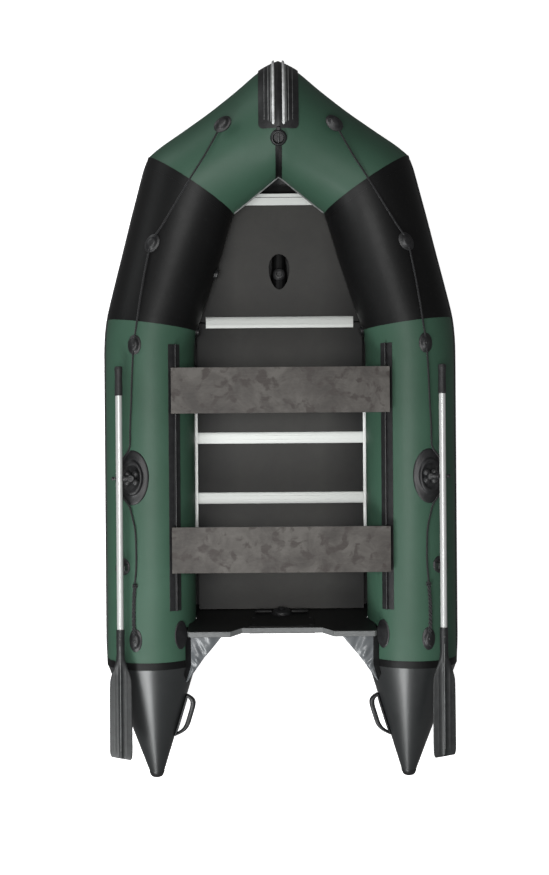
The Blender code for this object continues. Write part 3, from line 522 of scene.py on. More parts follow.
def frame_at(y):
    for a, b in zip(RUN, RUN[1:]):
        if a[0].y <= y <= b[0].y:
            t = (y - a[0].y) / (b[0].y - a[0].y)
            return tuple(p.lerp(q, t) for p, q in zip(a, b))
    return RUN[0] if y < RUN[0][0].y else RUN[-1]


def locate(x, y):
    """Frame and angle (degrees) of the upper skin over (x, y)."""
    best = None
    for k, f in enumerate(RUN):
        rel = Vector((x - f[0].x, y - f[0].y, 0))
        s = rel.dot(f[1]) / f[1].length_squared
        miss = (rel - f[1] * s).length
        if abs(s) <= R * 1.0001 and (best is None or miss < best[0]):
            best = (miss, k, s)
    k = best[1]
    best2 = None
    for a, b in zip(RUN[max(k - 1, 0):k + 1], RUN[max(k - 1, 0) + 1:k + 2]):
        for j in range(11):
            f = tuple(p.lerp(q, j / 10) for p, q in zip(a, b))
            rel = Vector((x - f[0].x, y - f[0].y, 0))
            s = rel.dot(f[1]) / f[1].length_squared
            miss = (rel - f[1] * s).length
            if best2 is None or miss < best2[0]:
                best2 = (miss, f, s)
    return best2[1], degrees(asin(max(-1, min(1, best2[2] / R))))


def over(x, y, lift):
    f, angle = locate(x, y)
    return at(f, angle, R + lift)


def skin(frames, lift=0.0, n=SIDES):
    return loft([[at(f, 360 * k / n, R + lift) for k in range(n)] for f in frames], caps=False)


def tubes():
    for side, s in PAIR:
        for label, fr, mat in (("side_tube", RUN[:I_TWO + 1], GREEN),
                               ("forward_tube", RUN[I_TWO:I_ONE + 1], BLACK),
                               ("bow_tube", RUN[I_ONE:], GREEN)):
            if label == "side_tube":
                fr = fr[::6] + [fr[-1]] if (len(fr) - 1) % 6 else fr[::6]
            piece(f"{label}_{s}_skin", mir(skin(fr), side), mat, reps=(f"{label}_{s}",))
        # glued tapes over the seams
        for label, fr, mat in (("seam_band_fore", RUN[I_ONE - 5:I_ONE + 1], BLACK),
                               ("seam_band_mid", RUN[I_TWO:I_TWO + 5], BLACK)):
            band(f"{label}_{s}", fr, mat, side, 0.0013)
        for tag, y in (("a", 0.1), ("b", -0.7)):
            band(f"panel_joint_{tag}_{s}", [frame_at(y - 0.014), frame_at(y), frame_at(y + 0.014)],
                GREEN, side, 0.0008)


def band(name, fr, mat, side, lift):
    n = SIDES
    rings = [[at(fr[0], 360 * k / n, R - 0.0005) for k in range(n)]]
    rings += [[at(f, 360 * k / n, R + lift) for k in range(n)] for f in fr]
    rings += [[at(fr[-1], 360 * k / n, R - 0.0005) for k in range(n)]]
    piece(name, mir(loft(rings, caps=False), side), mat)


def cone_r(y):
    return R + (y - CONE_Y) / (CONE_END + 0.03 - CONE_Y) * (TIP_R - R)


def cone_c(y):
    t = (y - CONE_Y) / (CONE_END - CONE_Y)
    return Vector((TX + t * (TIP_X - TX), y, R + t * (TIP_Z - R)))


def on_cone(y, a, lift=0.0):
    """A point of a stern cone's skin, a radians outboard of the top."""
    return cone_c(y) + Vector((sin(a), 0, cos(a))) * (cone_r(y) + lift)


def cones():
    for side, s in PAIR:
        ys = [CONE_Y - 0.02 * k for k in range(25)] + [CONE_END + 0.03]
        rings = [[on_cone(y, 2 * pi * k / SIDES) for k in range(SIDES)] for y in ys]
        piece(f"stern_cone_{s}_skin", mir(loft(rings, caps=False), side), CONE,
            reps=(f"stern_cone_{s}",))
        band(f"seam_band_aft_{s}", [frame_at(y) for y in (CONE_Y + 0.0003, -1.1, -1.088, -1.079)],
            BLACK, side, 0.0013)
        # moulded end cap with a raised rim
        prof = [(TIP_R - 0.002, 0.0), (TIP_R + 0.0012, 0.0), (TIP_R + 0.0014, -0.003),
            (TIP_R + 0.0002, -0.0075), (TIP_R - 0.0018, -0.012), (TIP_R - 0.005, -0.019),
            (0.024, -0.0255), (0.014, -0.029), (0, -0.03)]
        c = cone_c(CONE_END + 0.03)
        piece(f"cone_tip_{s}", mir(lathe([(r, -h) for r, h in prof], 40, c +
            Vector((0, 0.0005, 0)), (0, -1, 0)), side), PLASTIC)


# ---- bottom ----
def bottom():
    def row(f, y=None):
        e = at(f, 205, R + 0.0012)
        yy = e.y if y is None else y
        keel = e.z - 0.0125 - (0.012 * sin(min(1.0, (yy - 0.5) / 0.75) * pi) if yy > 0.5 else 0.0)
        out = []
        for k in range(41):
            x = -1 + k / 20
            out.append((e.x * x, yy, e.z + (keel - e.z) * (1 - abs(x)) ** 1.3))
        return out
    rows = [row(RUN[0], BOTTOM_AFT)] + [row(f) for f in RUN[24:I_TWO:8]] + [row(RUN[I_TWO])]
    o = piece("bottom_skin", sheet_of(rows, 0.0014), BLACK, reps=("bottom_panel",))
    fr = [f for f in RUN[I_TWO::3] if at(f, 205, R).x > 0.035]
    o = piece("bow_bottom_skin", sheet_of([row(q) for q in fr], 0.0014), BLACK,
        reps=("bow_bottom_panel",))
    NODES["keel_tube"].data.materials[0] = BLACK
    NODES["keel_guard"].data.materials[0] = RUBBER_SOFT
    for s in ("left", "right"):
        NODES[f"bulkhead_{s}"].data.materials[0] = INNER


# ---- pads on the skin ----
def pad(f, side, angle, half_u, half_v, profile, n=40, turn=0.0, base=0.0):
    """A moulded pad laid on the tube: profile is (share of the radius, height) from rim in."""
    c, o, u = f
    oo = o.normalized()
    d = Vector((-oo.y, oo.x, 0))

    def put(rho, phi, h):
        a, b = rho * half_u * cos(phi), rho * half_v * sin(phi)
        a, b = a * cos(turn) - b * sin(turn), a * sin(turn) + b * cos(turn)
        t = radians(angle) + a / R
        r = R + base + h
        p = c + o * (r * sin(t)) + u * (r * cos(t)) + d * b
        p.z += rise(p.y) - rise(c.y)
        return (p.x * side, p.y, p.z)
    rings = [[put(rho, 2 * pi * k / n, h) for k in range(n)] for rho, h in profile]
    verts = [p for r in rings for p in r] + [put(0, 0, profile[-1][1])]
    faces = []
    for k in range(len(rings) - 1):
        a, b = k * n, (k + 1) * n
        faces += [(a + i, a + (i + 1) % n, b + (i + 1) % n, b + i) for i in range(n)]
    e = (len(rings) - 1) * n
    faces += [(len(verts) - 1, e + i, e + (i + 1) % n) for i in range(n)]
    return verts, faces


def eyelets():
    """Rope eyelets: an oval pad with a raised bridge and a stud."""
    spots = (("bow", 0.248, 1.335, 0.031, 0.043, -0.15),
             ("forward", 0.578, 0.831, 0.032, 0.045, 0.22),
             ("side", 0.663, 0.371, 0.032, 0.046, 0.02),
             ("aft", 0.667, -0.976, 0.031, 0.053, 0.0))   # x, y, half sizes, turn
    for side, s in PAIR:
        for name, x, y, a, b, turn in spots:
            f, ang = locate(x, y)
            prof = [(1.0, 0.0), (0.985, 0.0022), (0.93, 0.0034), (0.78, 0.004), (0.66, 0.006),
                (0.56, 0.0115), (0.42, 0.0145), (0.25, 0.015), (0.1, 0.015)]
            piece(f"eyelet_{name}_{s}", pad(f, side, ang, a, b, prof, turn=turn), RUBBER)
            top = at(f, ang, R + 0.0148)
            nrm = (at(f, ang, R + 0.03) - at(f, ang, R)).normalized()
            piece(f"eyelet_stud_{name}_{s}", lathe(mm((0, 0), (6.2, 0), (6.2, 1.2), (4.5, 2.6),
                (0, 3)), 20, (top.x * side, top.y, top.z), (nrm.x * side, nrm.y, nrm.z)), PLASTIC)


def strakes():
    """Rubbing strake with three ribs."""
    half = [(-13, 0.0), (-12.6, 0.0032), (-11, 0.0048), (-9, 0.0046), (-7.5, 0.003), (-6, 0.0032),
        (-4.5, 0.0064), (-2, 0.0075)]
    sec = half + [(-a, h) for a, h in reversed(half)]
    for side, s in PAIR:
        rings = []
        for f in RUN[:I_ONE + 1:4]:
            t = min(1.0, (f[0].y - CONE_Y) / 0.1, (RUN[I_ONE][0].y - f[0].y + 0.004) / 0.05)
            t = max(0.25, t) ** 0.5
            rings.append([at(f, 90 + a * t, R + h * t) for a, h in sec])
        piece(f"rub_strake_{s}_ribbed", mir(loft(rings), side), RUBBER_SOFT,
            reps=(f"rub_strake_{s}",))


# ---- stem ----
def stem(x, angle, lift):
    """A point over the stem at this x, angle degrees forward of the top."""
    run = [at(f, angle, R + lift) for f in RUN[-22:]]
    for a, b in zip(run, run[1:]):
        if b.x <= abs(x) <= a.x:
            t = (a.x - abs(x)) / max(1e-9, a.x - b.x)
            return (x, a.y + (b.y - a.y) * t, a.z + (b.z - a.z) * t)
    p = run[-1]
    return (x, p.y, p.z)


def bow():
    def angles(x, y_aft, count, a1=150.0):
        """Angles from the one where this column of the stem reaches y_aft to a1."""
        best = min(np.linspace(-60, 60, 481), key=lambda g: abs(stem(x, g, 0.004)[1] - y_aft))
        return np.linspace(best, a1, count)

    # base patch with rounded aft corners
    cols = []
    for j in range(45):
        x = 0.0885 * sin(pi / 2 * (-1 + j / 22))
        t = max(0.0, (abs(x) - 0.0685) / 0.02)
        y_aft = 1.3065 + 0.02 * (1 - sqrt(max(0.0, 1 - t * t)))
        cols.append([stem(x, g, 0.0038) for g in angles(x, y_aft, 48)])
    piece("bow_patch_base", sheet_of(cols, 0.0028), RUBBER, reps=("bow_patch",))

    def rib(name, x0, x1, h, mat, nose=0.0):
        m, w = (x0 + x1) / 2, (x1 - x0) / 2
        xs = (m - w, m - w * 0.94, m - w * 0.6, m, m + w * 0.6, m + w * 0.94, m + w)
        lift = (0.003, 0.0036 + h * 0.7, 0.004 + h, 0.0042 + h * 1.06, 0.004 + h, 0.0036 + h * 0.7,
            0.003)
        ang = [angles(x, 1.3105, 64, 149.0) for x in xs]
        rings = []
        for k in range(64):
            t = min(1.0, (k + 0.4) / 3, (63.4 - k) / 4)
            out = nose * exp(-((ang[3][k] - 88) / 16) ** 2)
            rings.append([stem(x, ang[c][k], 0.003 + (lift[c] - 0.003) * t +
                (out if 0 < c < 6 else 0)) for c, x in enumerate(xs)])
        piece(name, loft(rings), mat, smooth=60)
    for side, s in PAIR:
        for tag, c, w, h, mat, nose in (("main", 0.0232, 0.0062, 0.0064, WHITE_RIB, 0.006),
                                        ("shoulder", 0.0335, 0.003, 0.0034, GREY_RIB, 0.0),
                                        ("mid", 0.045, 0.0027, 0.003, GREY_RIB, 0.0),
                                        ("edge", 0.063, 0.002, 0.0026, GREY_RIB, 0.0)):
            lo, hi = sorted((side * (c - w), side * (c + w)))
            rib(f"bow_rib_{tag}_{s}", lo, hi, h, mat, nose)
    # tape over the mitre, from the eye down to the inner apex
    rows = [[stem(0.0145 * (-1 + j / 4), ang, 0.0014) for j in range(9)]
        for ang in np.linspace(-34, -92, 24)]
    piece("bow_mitre_tape", sheet_of(rows, 0.0012), BLACK)
    # pale piping along the inner edge of the bow tubes
    for side, s in PAIR:
        pts = [at(f, -86, R + 0.002) for f in RUN[I_ONE + 2:-1]] + [at(RUN[-1], -86, R + 0.002)]
        piece(f"bow_piping_{s}", tube_along([(p.x * side, p.y, p.z) for p in pts], 0.0036, 10),
            GREY_RIB)
    f, ang = locate(0.0003, 1.268)
    a = radians(ang)
    n = Vector((0, sin(a), cos(a)))
    p = at(f, ang, R + 0.0015)
    p.x = 0
    ring = mm((36.5, 0), (37, 4), (35.5, 7.5), (33, 10.5), (30, 12.5), (27, 12.8), (24.5, 11.2),
        (23.2, 8.5), (22.5, 4), (21.5, 2.2), (0, 1.8))
    piece("bow_eye_ring", lathe(ring, 56, p, n), RUBBER, reps=("bow_eye",))
    ay = Vector((0, cos(a), -sin(a)))
    pts = [p + ay * (0.021 * t) + n * (0.0075 + 0.002 * (1 - t * t))
        for t in np.linspace(-1, 1, 9)]
    piece("bow_eye_pin", tube_along(pts, 0.0034, 12, up=(1, 0, 0)), STEEL)
    q0 = p + ay * 0.041 + n * 0.002
    piece("bow_eye_lug", lathe(mm((0, 0), (10, 0), (10, 4), (7, 7), (0, 7.5)), 24, q0, n), RUBBER)


# ---- CAD solids carried over with worked edges ----
def fine(name, mat, width=0.0008, segments=2, body="hull", low=None, smooth=30):
    """The CAD shape, facets merged and edges rounded; low is (z, mat) for what is below z."""
    me = NODES[name].data.copy()
    me.materials.clear()
    me.materials.append(mat)
    bm = bmesh.new()
    bm.from_mesh(me)
    bmesh.ops.remove_doubles(bm, verts=bm.verts, dist=1e-6)
    bmesh.ops.dissolve_limit(bm, angle_limit=radians(1.0), verts=bm.verts, edges=bm.edges)
    bmesh.ops.recalc_face_normals(bm, faces=bm.faces)
    if low:
        me.materials.append(low[1])
        for f in bm.faces:
            f.material_index = int(f.calc_center_median().z < low[0])
    bm.to_mesh(me)
    bm.free()
    shade(me, smooth)
    o = new_object(f"{name}_finished", me)
    round_edges(o, width, segments, smooth)
    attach(o, body)
    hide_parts(name)
    return o


# ---- floor ----
def floor():
    for n in ("bow", "forward", "middle", "aft"):
        fine(f"floor_board_{n}", BOARD, 0.0007)
    h, t, g, w = 0.027, 0.0024, 0.0005, 0.0013
    z1, z0 = FLOOR + g, FLOOR - 0.012 - g
    top = z1 + t
    for tag, y, half in (("forward", 0.495, 0.352), ("middle", -0.057, 0.3945),
                         ("aft", -0.344, 0.3945)):
        up = [(h, z1), (h, z1 + t * 0.45), (h - 0.0008, z1 + t * 0.8), (h - 0.0022, top)]
        for c in (0.0105, 0.0075, -0.0075, -0.0105):
            if c in (0.0105, -0.0075):
                up += [(c + 0.0011, top), (c + 0.0007, top - 0.0009)]
            else:
                up += [(c + 0.0023, top - 0.0009), (c + 0.0019, top)]
        up += [(-h + 0.0022, top), (-h + 0.0008, z1 + t * 0.8), (-h, z1 + t * 0.45), (-h, z1)]
        sec = [(y + a, z) for a, z in up]
        sec += [(y - w, z1), (y - w, z0), (y - h, z0), (y - h, z0 - t), (y + h, z0 - t),
            (y + h, z0), (y + w, z0), (y + w, z1)]
        rings = [[(x, a, z) for a, z in sec] for x in (-half, half)]
        piece(f"floor_bar_{tag}", loft(rings), ALU_X, reps=(f"floor_profile_{tag}",), smooth=25)
    fine("floor_profile_bow", ALU_X, 0.0007)
    lo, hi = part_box("floor_profile_bow")
    yy = hi[1] - 0.0175
    pts = [p.co for p in NODES["floor_profile_bow"].data.vertices]
    x1 = max(p.x for p in pts if p.y > hi[1] - 0.002)
    x0 = max(p.x for p in pts if p.y < lo[1] + 0.002)
    xx = x0 + (x1 - x0) * (yy - lo[1]) / (hi[1] - lo[1]) - 0.003
    zt = hi[2] - 0.085 * 0.0175
    piece("floor_bar_bow_line", loft([[(x, yy - 0.0013, zt - 0.001), (x, yy + 0.0013, zt - 0.0008),
        (x, yy + 0.0013, zt + 0.00035), (x, yy - 0.0013, zt + 0.00015)] for x in (-xx, xx)]),
        RUBBER, shift=False)
    for s in ("left", "right"):
        fine(f"floor_stringer_{s}", ALU_Y, 0.0004)
    # keel valve and its cap in the egg-shaped hole
    lo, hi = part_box("keel_valve")
    c = ((lo[0] + hi[0]) / 2, (lo[1] + hi[1]) / 2, lo[2])
    r, hgt = (hi[0] - lo[0]) / 2, hi[2] - lo[2]
    prof = [(0, 0), (r * 0.98, 0), (r, hgt * 0.15), (r, hgt * 0.55), (r * 0.93, hgt * 0.85),
        (r * 0.8, hgt), (r * 0.7, hgt * 0.96), (r * 0.66, hgt * 0.7), (0, hgt * 0.66)]
    piece("keel_valve_body", lathe(prof, 64, c), PLASTIC, reps=("keel_valve",), shift=False)
    lo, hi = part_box("keel_valve_cap")
    c = ((lo[0] + hi[0]) / 2, (lo[1] + hi[1]) / 2, lo[2])
    r, hgt = (hi[0] - lo[0]) / 2, hi[2] - lo[2]
    v, f, n = [], [], 72
    rings = ((0.9, 0.0), (1.0, 0.1), (1.0, 0.72), (0.95, 0.9), (0.86, 0.97), (0.6, 0.97),
        (0.52, 0.86), (0.2, 0.84))
    for q, (rr, hh) in enumerate(rings):
        for k in range(n):
            notch = 0.965 if (k // 3) % 2 and q in (1, 2) else 1.0
            a = 2 * pi * k / n
            v.append((c[0] + r * rr * notch * cos(a), c[1] + r * rr * notch * sin(a),
                c[2] + hgt * hh))
    for q in range(len(rings) - 1):
        f += [(q * n + k, q * n + (k + 1) % n, (q + 1) * n + (k + 1) % n, (q + 1) * n + k)
            for k in range(n)]
    f += [tuple(range(n)), tuple((len(rings) - 1) * n + k for k in reversed(range(n)))]
    piece("keel_valve_cap_ribbed", (v, f), RUBBER, body="keel_valve_cap", reps=("keel_valve_cap",),
        shift=False, smooth=40)
    bar = [(-r * 0.5, -0.0035), (r * 0.5, -0.0035), (r * 0.5, 0.0035), (-r * 0.5, 0.0035)]
    piece("keel_valve_cap_bar", loft([[(c[0] + a, c[1] + b, c[2] + hgt * z) for a, b in bar]
        for z in (0.8, 1.0)]), PLASTIC, body="keel_valve_cap", shift=False, bevel=0.001)


# ---- transom ----
def raked(x, z, depth):
    y = TRANSOM_Y - tan(RAKE) * (z - FLOOR)
    return Vector((x, y - depth * cos(RAKE), z - depth * sin(RAKE)))


def transom():
    fine("transom_board", TRANSOM, 0.003, 3)
    for t in ("inner", "outer"):
        fine(f"motor_plate_{t}", PLATE, 0.0012, 3)
        d = -0.0046 if t == "inner" else 0.0306
        n = BOARD_OUT * (1 if t == "inner" else -1)
        for k, (x, z) in enumerate([(x, z) for z in (0.252, 0.358) for x in (-0.132, 0.132)]):
            piece(f"motor_plate_{t}_rivet_{k + 1}", lathe(mm((0, 0), (6, 0), (6, 0.8), (4.2, 2.4),
                (0, 2.6)), 20, raked(x, z, d), n), PLASTIC)
    y = TRANSOM_Y - tan(RAKE) * 0.25 - 0.038
    for side, s in PAIR:
        prof = [(1.0, 0.0), (0.99, 0.0022), (0.95, 0.0034), (0.86, 0.004), (0.78, 0.0036),
            (0.7, 0.003), (0.55, 0.0032), (0.4, 0.0036)]
        piece(f"transom_holder_{s}_moulded", pad(frame_at(y), side, -45, 0.036, 0.066, prof, 64,
            base=0.0003), RUBBER, reps=(f"transom_holder_{s}",))
        gusset(side, s)
    n = BOARD_OUT
    p = raked(0, DRAIN_Z, 0) + n * 0.0004
    prof = mm((13, 0), (48.5, 0), (49, 3), (47.5, 5.6), (44.5, 7), (43.5, 11), (40, 15.5),
        (33, 18.5), (23, 20.4), (15, 21), (13, 20.8))
    piece("drain_dome", lathe(prof, 72, p, n), RUBBER, reps=("drain_valve",))
    prof = mm((0, 1), (12.5, 1), (12.5, 21.5), (16.5, 21.6), (17, 23), (17, 25.6), (15.8, 26.6),
        (10, 27.2), (5, 28), (0, 28))
    piece("drain_plug_turned", lathe(prof, 48, p, n), PLASTIC, body="drain_plug",
        reps=("drain_plug",))
    for side, s in PAIR:
        pts = [raked(side * x, DRAIN_Z, -0.0095) for x in (0.047, 0.085, 0.122, 0.126)]
        piece(f"drain_pipe_{s}", tube_along(pts, [0.009, 0.0092, 0.009, 0.007], 20), PLATE)


def gusset(side, s):
    """Glossy web, puckered where it is pulled between the board and the tube."""
    y0 = raked(0, 0.31, 0.026).y - 0.0016
    rows, n, m = [], 44, 32
    for i in range(n + 1):
        q = 4 * i / n
        k = min(3, int(q))
        a, b, z = (GUSSET_EDGE[k][j] + (GUSSET_EDGE[k + 1][j] - GUSSET_EDGE[k][j]) * (q - k)
            for j in range(3))
        y = y0 + b
        c, r = (cone_c(y), cone_r(y)) if y < CONE_Y else (Vector((TX, y, R)), R)
        xl = c.x - sqrt(r * r - (z - c.z) ** 2) - 0.003
        row = []
        for j in range(m + 1):
            t = j / m
            x = a + (xl - a) * t
            puck = sin(pi * t) * sin(pi * min(1.0, i / n + 0.08))
            fan = (x - 0.27) / (0.3 + b)
            wr = (0.0058 * sin(13 * fan + 1.3 * side + 9 * b) + 0.0024 * sin(29 * fan - 21 * b) +
                0.0008 * sin(60 * b + 25 * x))
            row.append((side * x, y0 + b, z + 0.006 * sin(pi * t) + puck * wr))
        rows.append(row)
    tape = []
    for k in range(29):
        y = y0 + 0.012 - 0.264 * k / 28
        wide = 19.0 * min(1.0, 0.25 + (28 - k) / 6)
        row = []
        for j in range(9):
            g = -71.0 + wide * j / 8
            row.append(at(frame_at(y), g, R + 0.0018) if y > CONE_Y else
                on_cone(y, radians(g), 0.0018))
        tape.append([(p[0] * side, p[1], p[2]) for p in row])
    piece(f"transom_gusset_{s}_tape", sheet_of(tape, 0.001 * side), BLACK)
    o = piece(f"transom_gusset_{s}_web", sheet_of(rows, 0.0012 * side), GREY,
        reps=(f"transom_gusset_{s}",), smooth=60)


# ---- seats ----
def seats():
    for s in ("left", "right"):
        fine(f"seat_rail_{s}", PLASTIC, 0.0005, smooth=50)
    for label in ("front", "rear"):
        fine(f"{label}_seat", SEAT, 0.003, 3, body=f"{label}_seat", low=(0.4148, PLASTIC))


# ---- rowlocks and oars ----
def rowlocks():
    px = ROWLOCK_X
    ang = degrees(asin((px - TX) / R))
    surf = R + sqrt(R ** 2 - (px - TX) ** 2)
    prof = [(1.0, 0.0), (0.99, 0.0018), (0.965, 0.0034), (0.93, 0.0045), (0.82, 0.0055),
        (0.7, 0.0066), (0.665, 0.008), (0.645, 0.011), (0.625, 0.0143), (0.595, 0.0163),
        (0.555, 0.0171), (0.51, 0.0168), (0.475, 0.0156), (0.45, 0.0138), (0.42, 0.0124),
        (0.36, 0.012), (0.2, 0.012), (0.1, 0.012)]
    for side, s in PAIR:
        piece(f"rowlock_pad_{s}_moulded", pad(frame_at(PIVOT_Y), side, ang, 0.078, 0.125, prof, 96,
            base=0.0003), RUBBER, reps=(f"rowlock_pad_{s}",))
        body = f"swivel_{s}"
        post = [(0, surf + 0.006), (0.011, surf + 0.006), (0.011, surf + 0.0212),
            (0.016, surf + 0.0214), (0.017, surf + 0.0224), (0.017, 0.464), (0.0164, 0.4668),
            (0.0145, 0.469), (0.0115, 0.47), (0.006, 0.47), (0.005, 0.469), (0, 0.469)]
        piece(f"rowlock_post_{s}", lathe(post, 64, (side * px, PIVOT_Y, 0)), RUBBER, body=body,
            reps=(f"rowlock_swivel_{s}",))
        c = (side * px, PIVOT_Y, OAR_Z)
        piece(f"rowlock_pin_{s}", lathe(mm((0, 10), (5.2, 10), (5.2, 76), (4.8, 78), (0, 78)), 40,
            c, (side, 0, 0)), STEEL, body=body)
        sleeve = mm((0, -13), (8, -12.6), (12.5, -10), (14, -5), (14, 12), (15, 14), (15, 20),
            (13.8, 21.2), (13.8, 23.2), (15.2, 24.4), (15.5, 26), (15.5, 32.2), (14.6, 34.6),
            (0, 34.6))
        piece(f"rowlock_sleeve_{s}", lathe(sleeve, 48, c, (side, 0, 0)), RUBBER, body=body)
        for k in range(4):
            a = radians(45 + 90 * k)
            along, across = Vector((cos(a), sin(a), 0)), Vector((-sin(a), cos(a), 0))
            hub = Vector((side * px, PIVOT_Y, surf + 0.04)) + along * 0.0255
            rings = []
            for u in np.linspace(-0.995, 0.995, 17):
                w = (1 - abs(u) ** 2.6) ** (1 / 2.6)
                rings.append([hub + along * (0.0155 * u) + across * (0.0165 * w * cos(t)) +
                    Vector((0, 0, 0.0118 * w * sin(t)))
                    for t in np.linspace(0, 2 * pi, 28, endpoint=False)])
            piece(f"rowlock_lobe_{s}_{k + 1}", loft(rings), RUBBER, body=body)
        nut = mm((5.2, 76.5), (8.8, 76.5), (9.5, 77.5), (9.5, 84.5), (8.6, 85.8), (5.8, 86.2),
            (5.2, 85.8))
        piece(f"rowlock_nut_{s}", lathe(nut, 6, c, (side, 0, 0)), PLASTIC, body=body, smooth=20)
        piece(f"rowlock_pin_end_{s}", lathe(mm((0, 75), (5, 75), (5, 87.5), (4, 89), (0, 89)), 28,
            c, (side, 0, 0)), STEEL, body=body)
        oar(side, s)
        clip(side, s)


def oar(side, s):
    x = side * OAR_X
    body = f"oar_{s}"
    aft = (0, -1, 0)
    y0, y1 = 0.16, -0.985
    prof = [(0.0136, 0.0), (0.015, 0.0), (0.015, y0 - y1), (0.0136, y0 - y1)]
    piece(f"oar_shaft_{s}_drawn", lathe(prof, 72, (x, y0, OAR_Z), aft), ALU_Y, body=body,
        reps=(f"oar_shaft_{s}",))
    for q in (-1, 1):
        piece(f"oar_bush_{s}_{'out' if q == side else 'in'}", lathe(mm((5.6, 14.9), (10.5, 14.9),
            (10.5, 16), (9.2, 17.2), (5.6, 17.2)), 40, (x, PIVOT_Y, OAR_Z), (q, 0, 0)), PLASTIC,
            body=body)
    # grip: shallow finger rings on a swelling handle
    g = []
    for k in range(61):
        t = 0.001 + 0.13 * k / 60
        base = np.interp(t, (0.001, 0.012, 0.03, 0.06, 0.1, 0.131),
            (0.0168, 0.0188, 0.0172, 0.0168, 0.0178, 0.0185))
        g.append((float(base) - 0.0006 * (0.5 + 0.5 * cos(2 * pi * t / 0.0085)) *
            (0.015 < t < 0.12), t))
    prof = [(0, -0.002), (0.009, -0.0018), (0.0145, -0.0006)] + g + [(0.0154, 0.131)]
    piece(f"oar_grip_{s}_ringed", lathe(prof, 56, (x, 0.269, OAR_Z), aft), RUBBER_SOFT, body=body,
        reps=(f"oar_grip_{s}",))
    blade(side, s, x, body)


def blade(side, s, x, body):
    spine = [(-0.918, 0.0184, 0.0184, 0), (-0.921, 0.0188, 0.0188, 0), (-0.982, 0.0188, 0.0188, 0),
        (-1.0, 0.0186, 0.018, 0), (-1.03, 0.018, 0.016, 0), (-1.06, 0.0215, 0.0138, 0),
        (-1.09, 0.031, 0.012, 0), (-1.115, 0.04, 0.0112, 0), (-1.135, 0.0455, 0.0108, 0),
        (-1.15, 0.0485, 0.0105, 0), (-1.18, 0.05, 0.0104, 0), (-1.3, 0.0508, 0.01, 0),
        (-1.44, 0.0515, 0.009, 0.002), (-1.47, 0.0512, 0.0082, -0.003),
        (-1.484, 0.05, 0.0076, -0.006), (-1.493, 0.0478, 0.0062, -0.007),
        (-1.499, 0.044, 0.0036, -0.007), (-1.5004, 0.04, 0.0012, -0.007)]
    sp = np.array(spine)
    n = 96
    rings = []
    ks = np.linspace(0, len(sp) - 1, (len(sp) - 1) * 5 + 1)
    for k in ks:
        y, hw, ht, sk = (float(np.interp(k, range(len(sp)), sp[:, c])) for c in range(4))
        flat = min(1.0, max(0.0, (hw - 0.02) / 0.022))
        ring = []
        for j in range(n):
            a = 2 * pi * j / n
            ca, sa = cos(a), sin(a)
            u = ca * hw
            rib = exp(-(u / 0.0075) ** 2)
            side_rib = 0.22 * exp(-((abs(u) - 0.026) / 0.003) ** 2) * (y > -1.475)
            rim = 0.2 * exp(-((abs(u) - hw * 0.93) / 0.003) ** 2)
            z = ht * (0.4 + 0.6 * rib + 0.35 * (side_rib + rim))
            z = z * copysign(abs(sa) ** 0.55, sa) if sa else 0.0
            z = z * flat + ht * sa * (1 - flat)
            ring.append((x + u, y - sk * ca * side, OAR_Z + z))
        rings.append(ring)
    piece(f"oar_blade_{s}_ribbed", loft(rings), BLADE, body=body, reps=(f"oar_blade_{s}",),
        smooth=55)
    # painted highlight: a thin light grey strip laid along the top of the spine stands for the
    # shine on the blade's round spine
    run = [(x, y, OAR_Z + float(np.interp(-y, -sp[:, 0], sp[:, 2])) + 0.0002)
        for y in np.linspace(-0.99, -1.465, 24)]
    piece(f"oar_blade_painted_highlight_{s}", tube_along(run, 0.0013, 10), GREY_RIB, body=body)
    piece(f"oar_blade_rivet_{s}", lathe(mm((0, 0), (4.8, 0), (4.8, 0.8), (3.2, 2.2), (0, 2.4)), 24,
        (x, -0.958, OAR_Z + 0.0186)), STEEL, body=body)


def clip(side, s):
    x0 = 0.7255
    ang = degrees(asin((x0 - TX) / R))

    def skin_z(x):
        return R + sqrt(R ** 2 - (x - TX) ** 2)
    prof = [(1.0, 0.0), (0.985, 0.0018), (0.95, 0.0032), (0.85, 0.005), (0.7, 0.0064),
        (0.55, 0.008), (0.45, 0.009), (0.36, 0.0098), (0.3, 0.01), (0.1, 0.01)]
    piece(f"oar_clip_{s}_pad", pad(frame_at(CLIP_Y), side, ang, 0.04, 0.04, prof, 72, base=0.0003),
        RUBBER, reps=(f"oar_clip_{s}",))
    xr, zr = OAR_X, OAR_Z
    wall = xr - 0.017
    sec = [(xr + 0.022, zr - 0.0188), (wall + 0.004, zr - 0.0188), (wall, zr - 0.015),
        (wall, zr + 0.009), (wall - 0.0055, zr + 0.009), (wall - 0.0065, zr - 0.008),
        (0.702, zr - 0.026), (0.701, skin_z(0.701) + 0.003), (wall, skin_z(wall) + 0.003),
        (wall, zr - 0.0265), (xr + 0.022, zr - 0.0245)]
    piece(f"oar_clip_{s}_rest", loft([[(a * side, y, z) for a, z in sec]
        for y in (CLIP_Y - 0.013, CLIP_Y + 0.013)]), PLASTIC, bevel=0.0014)


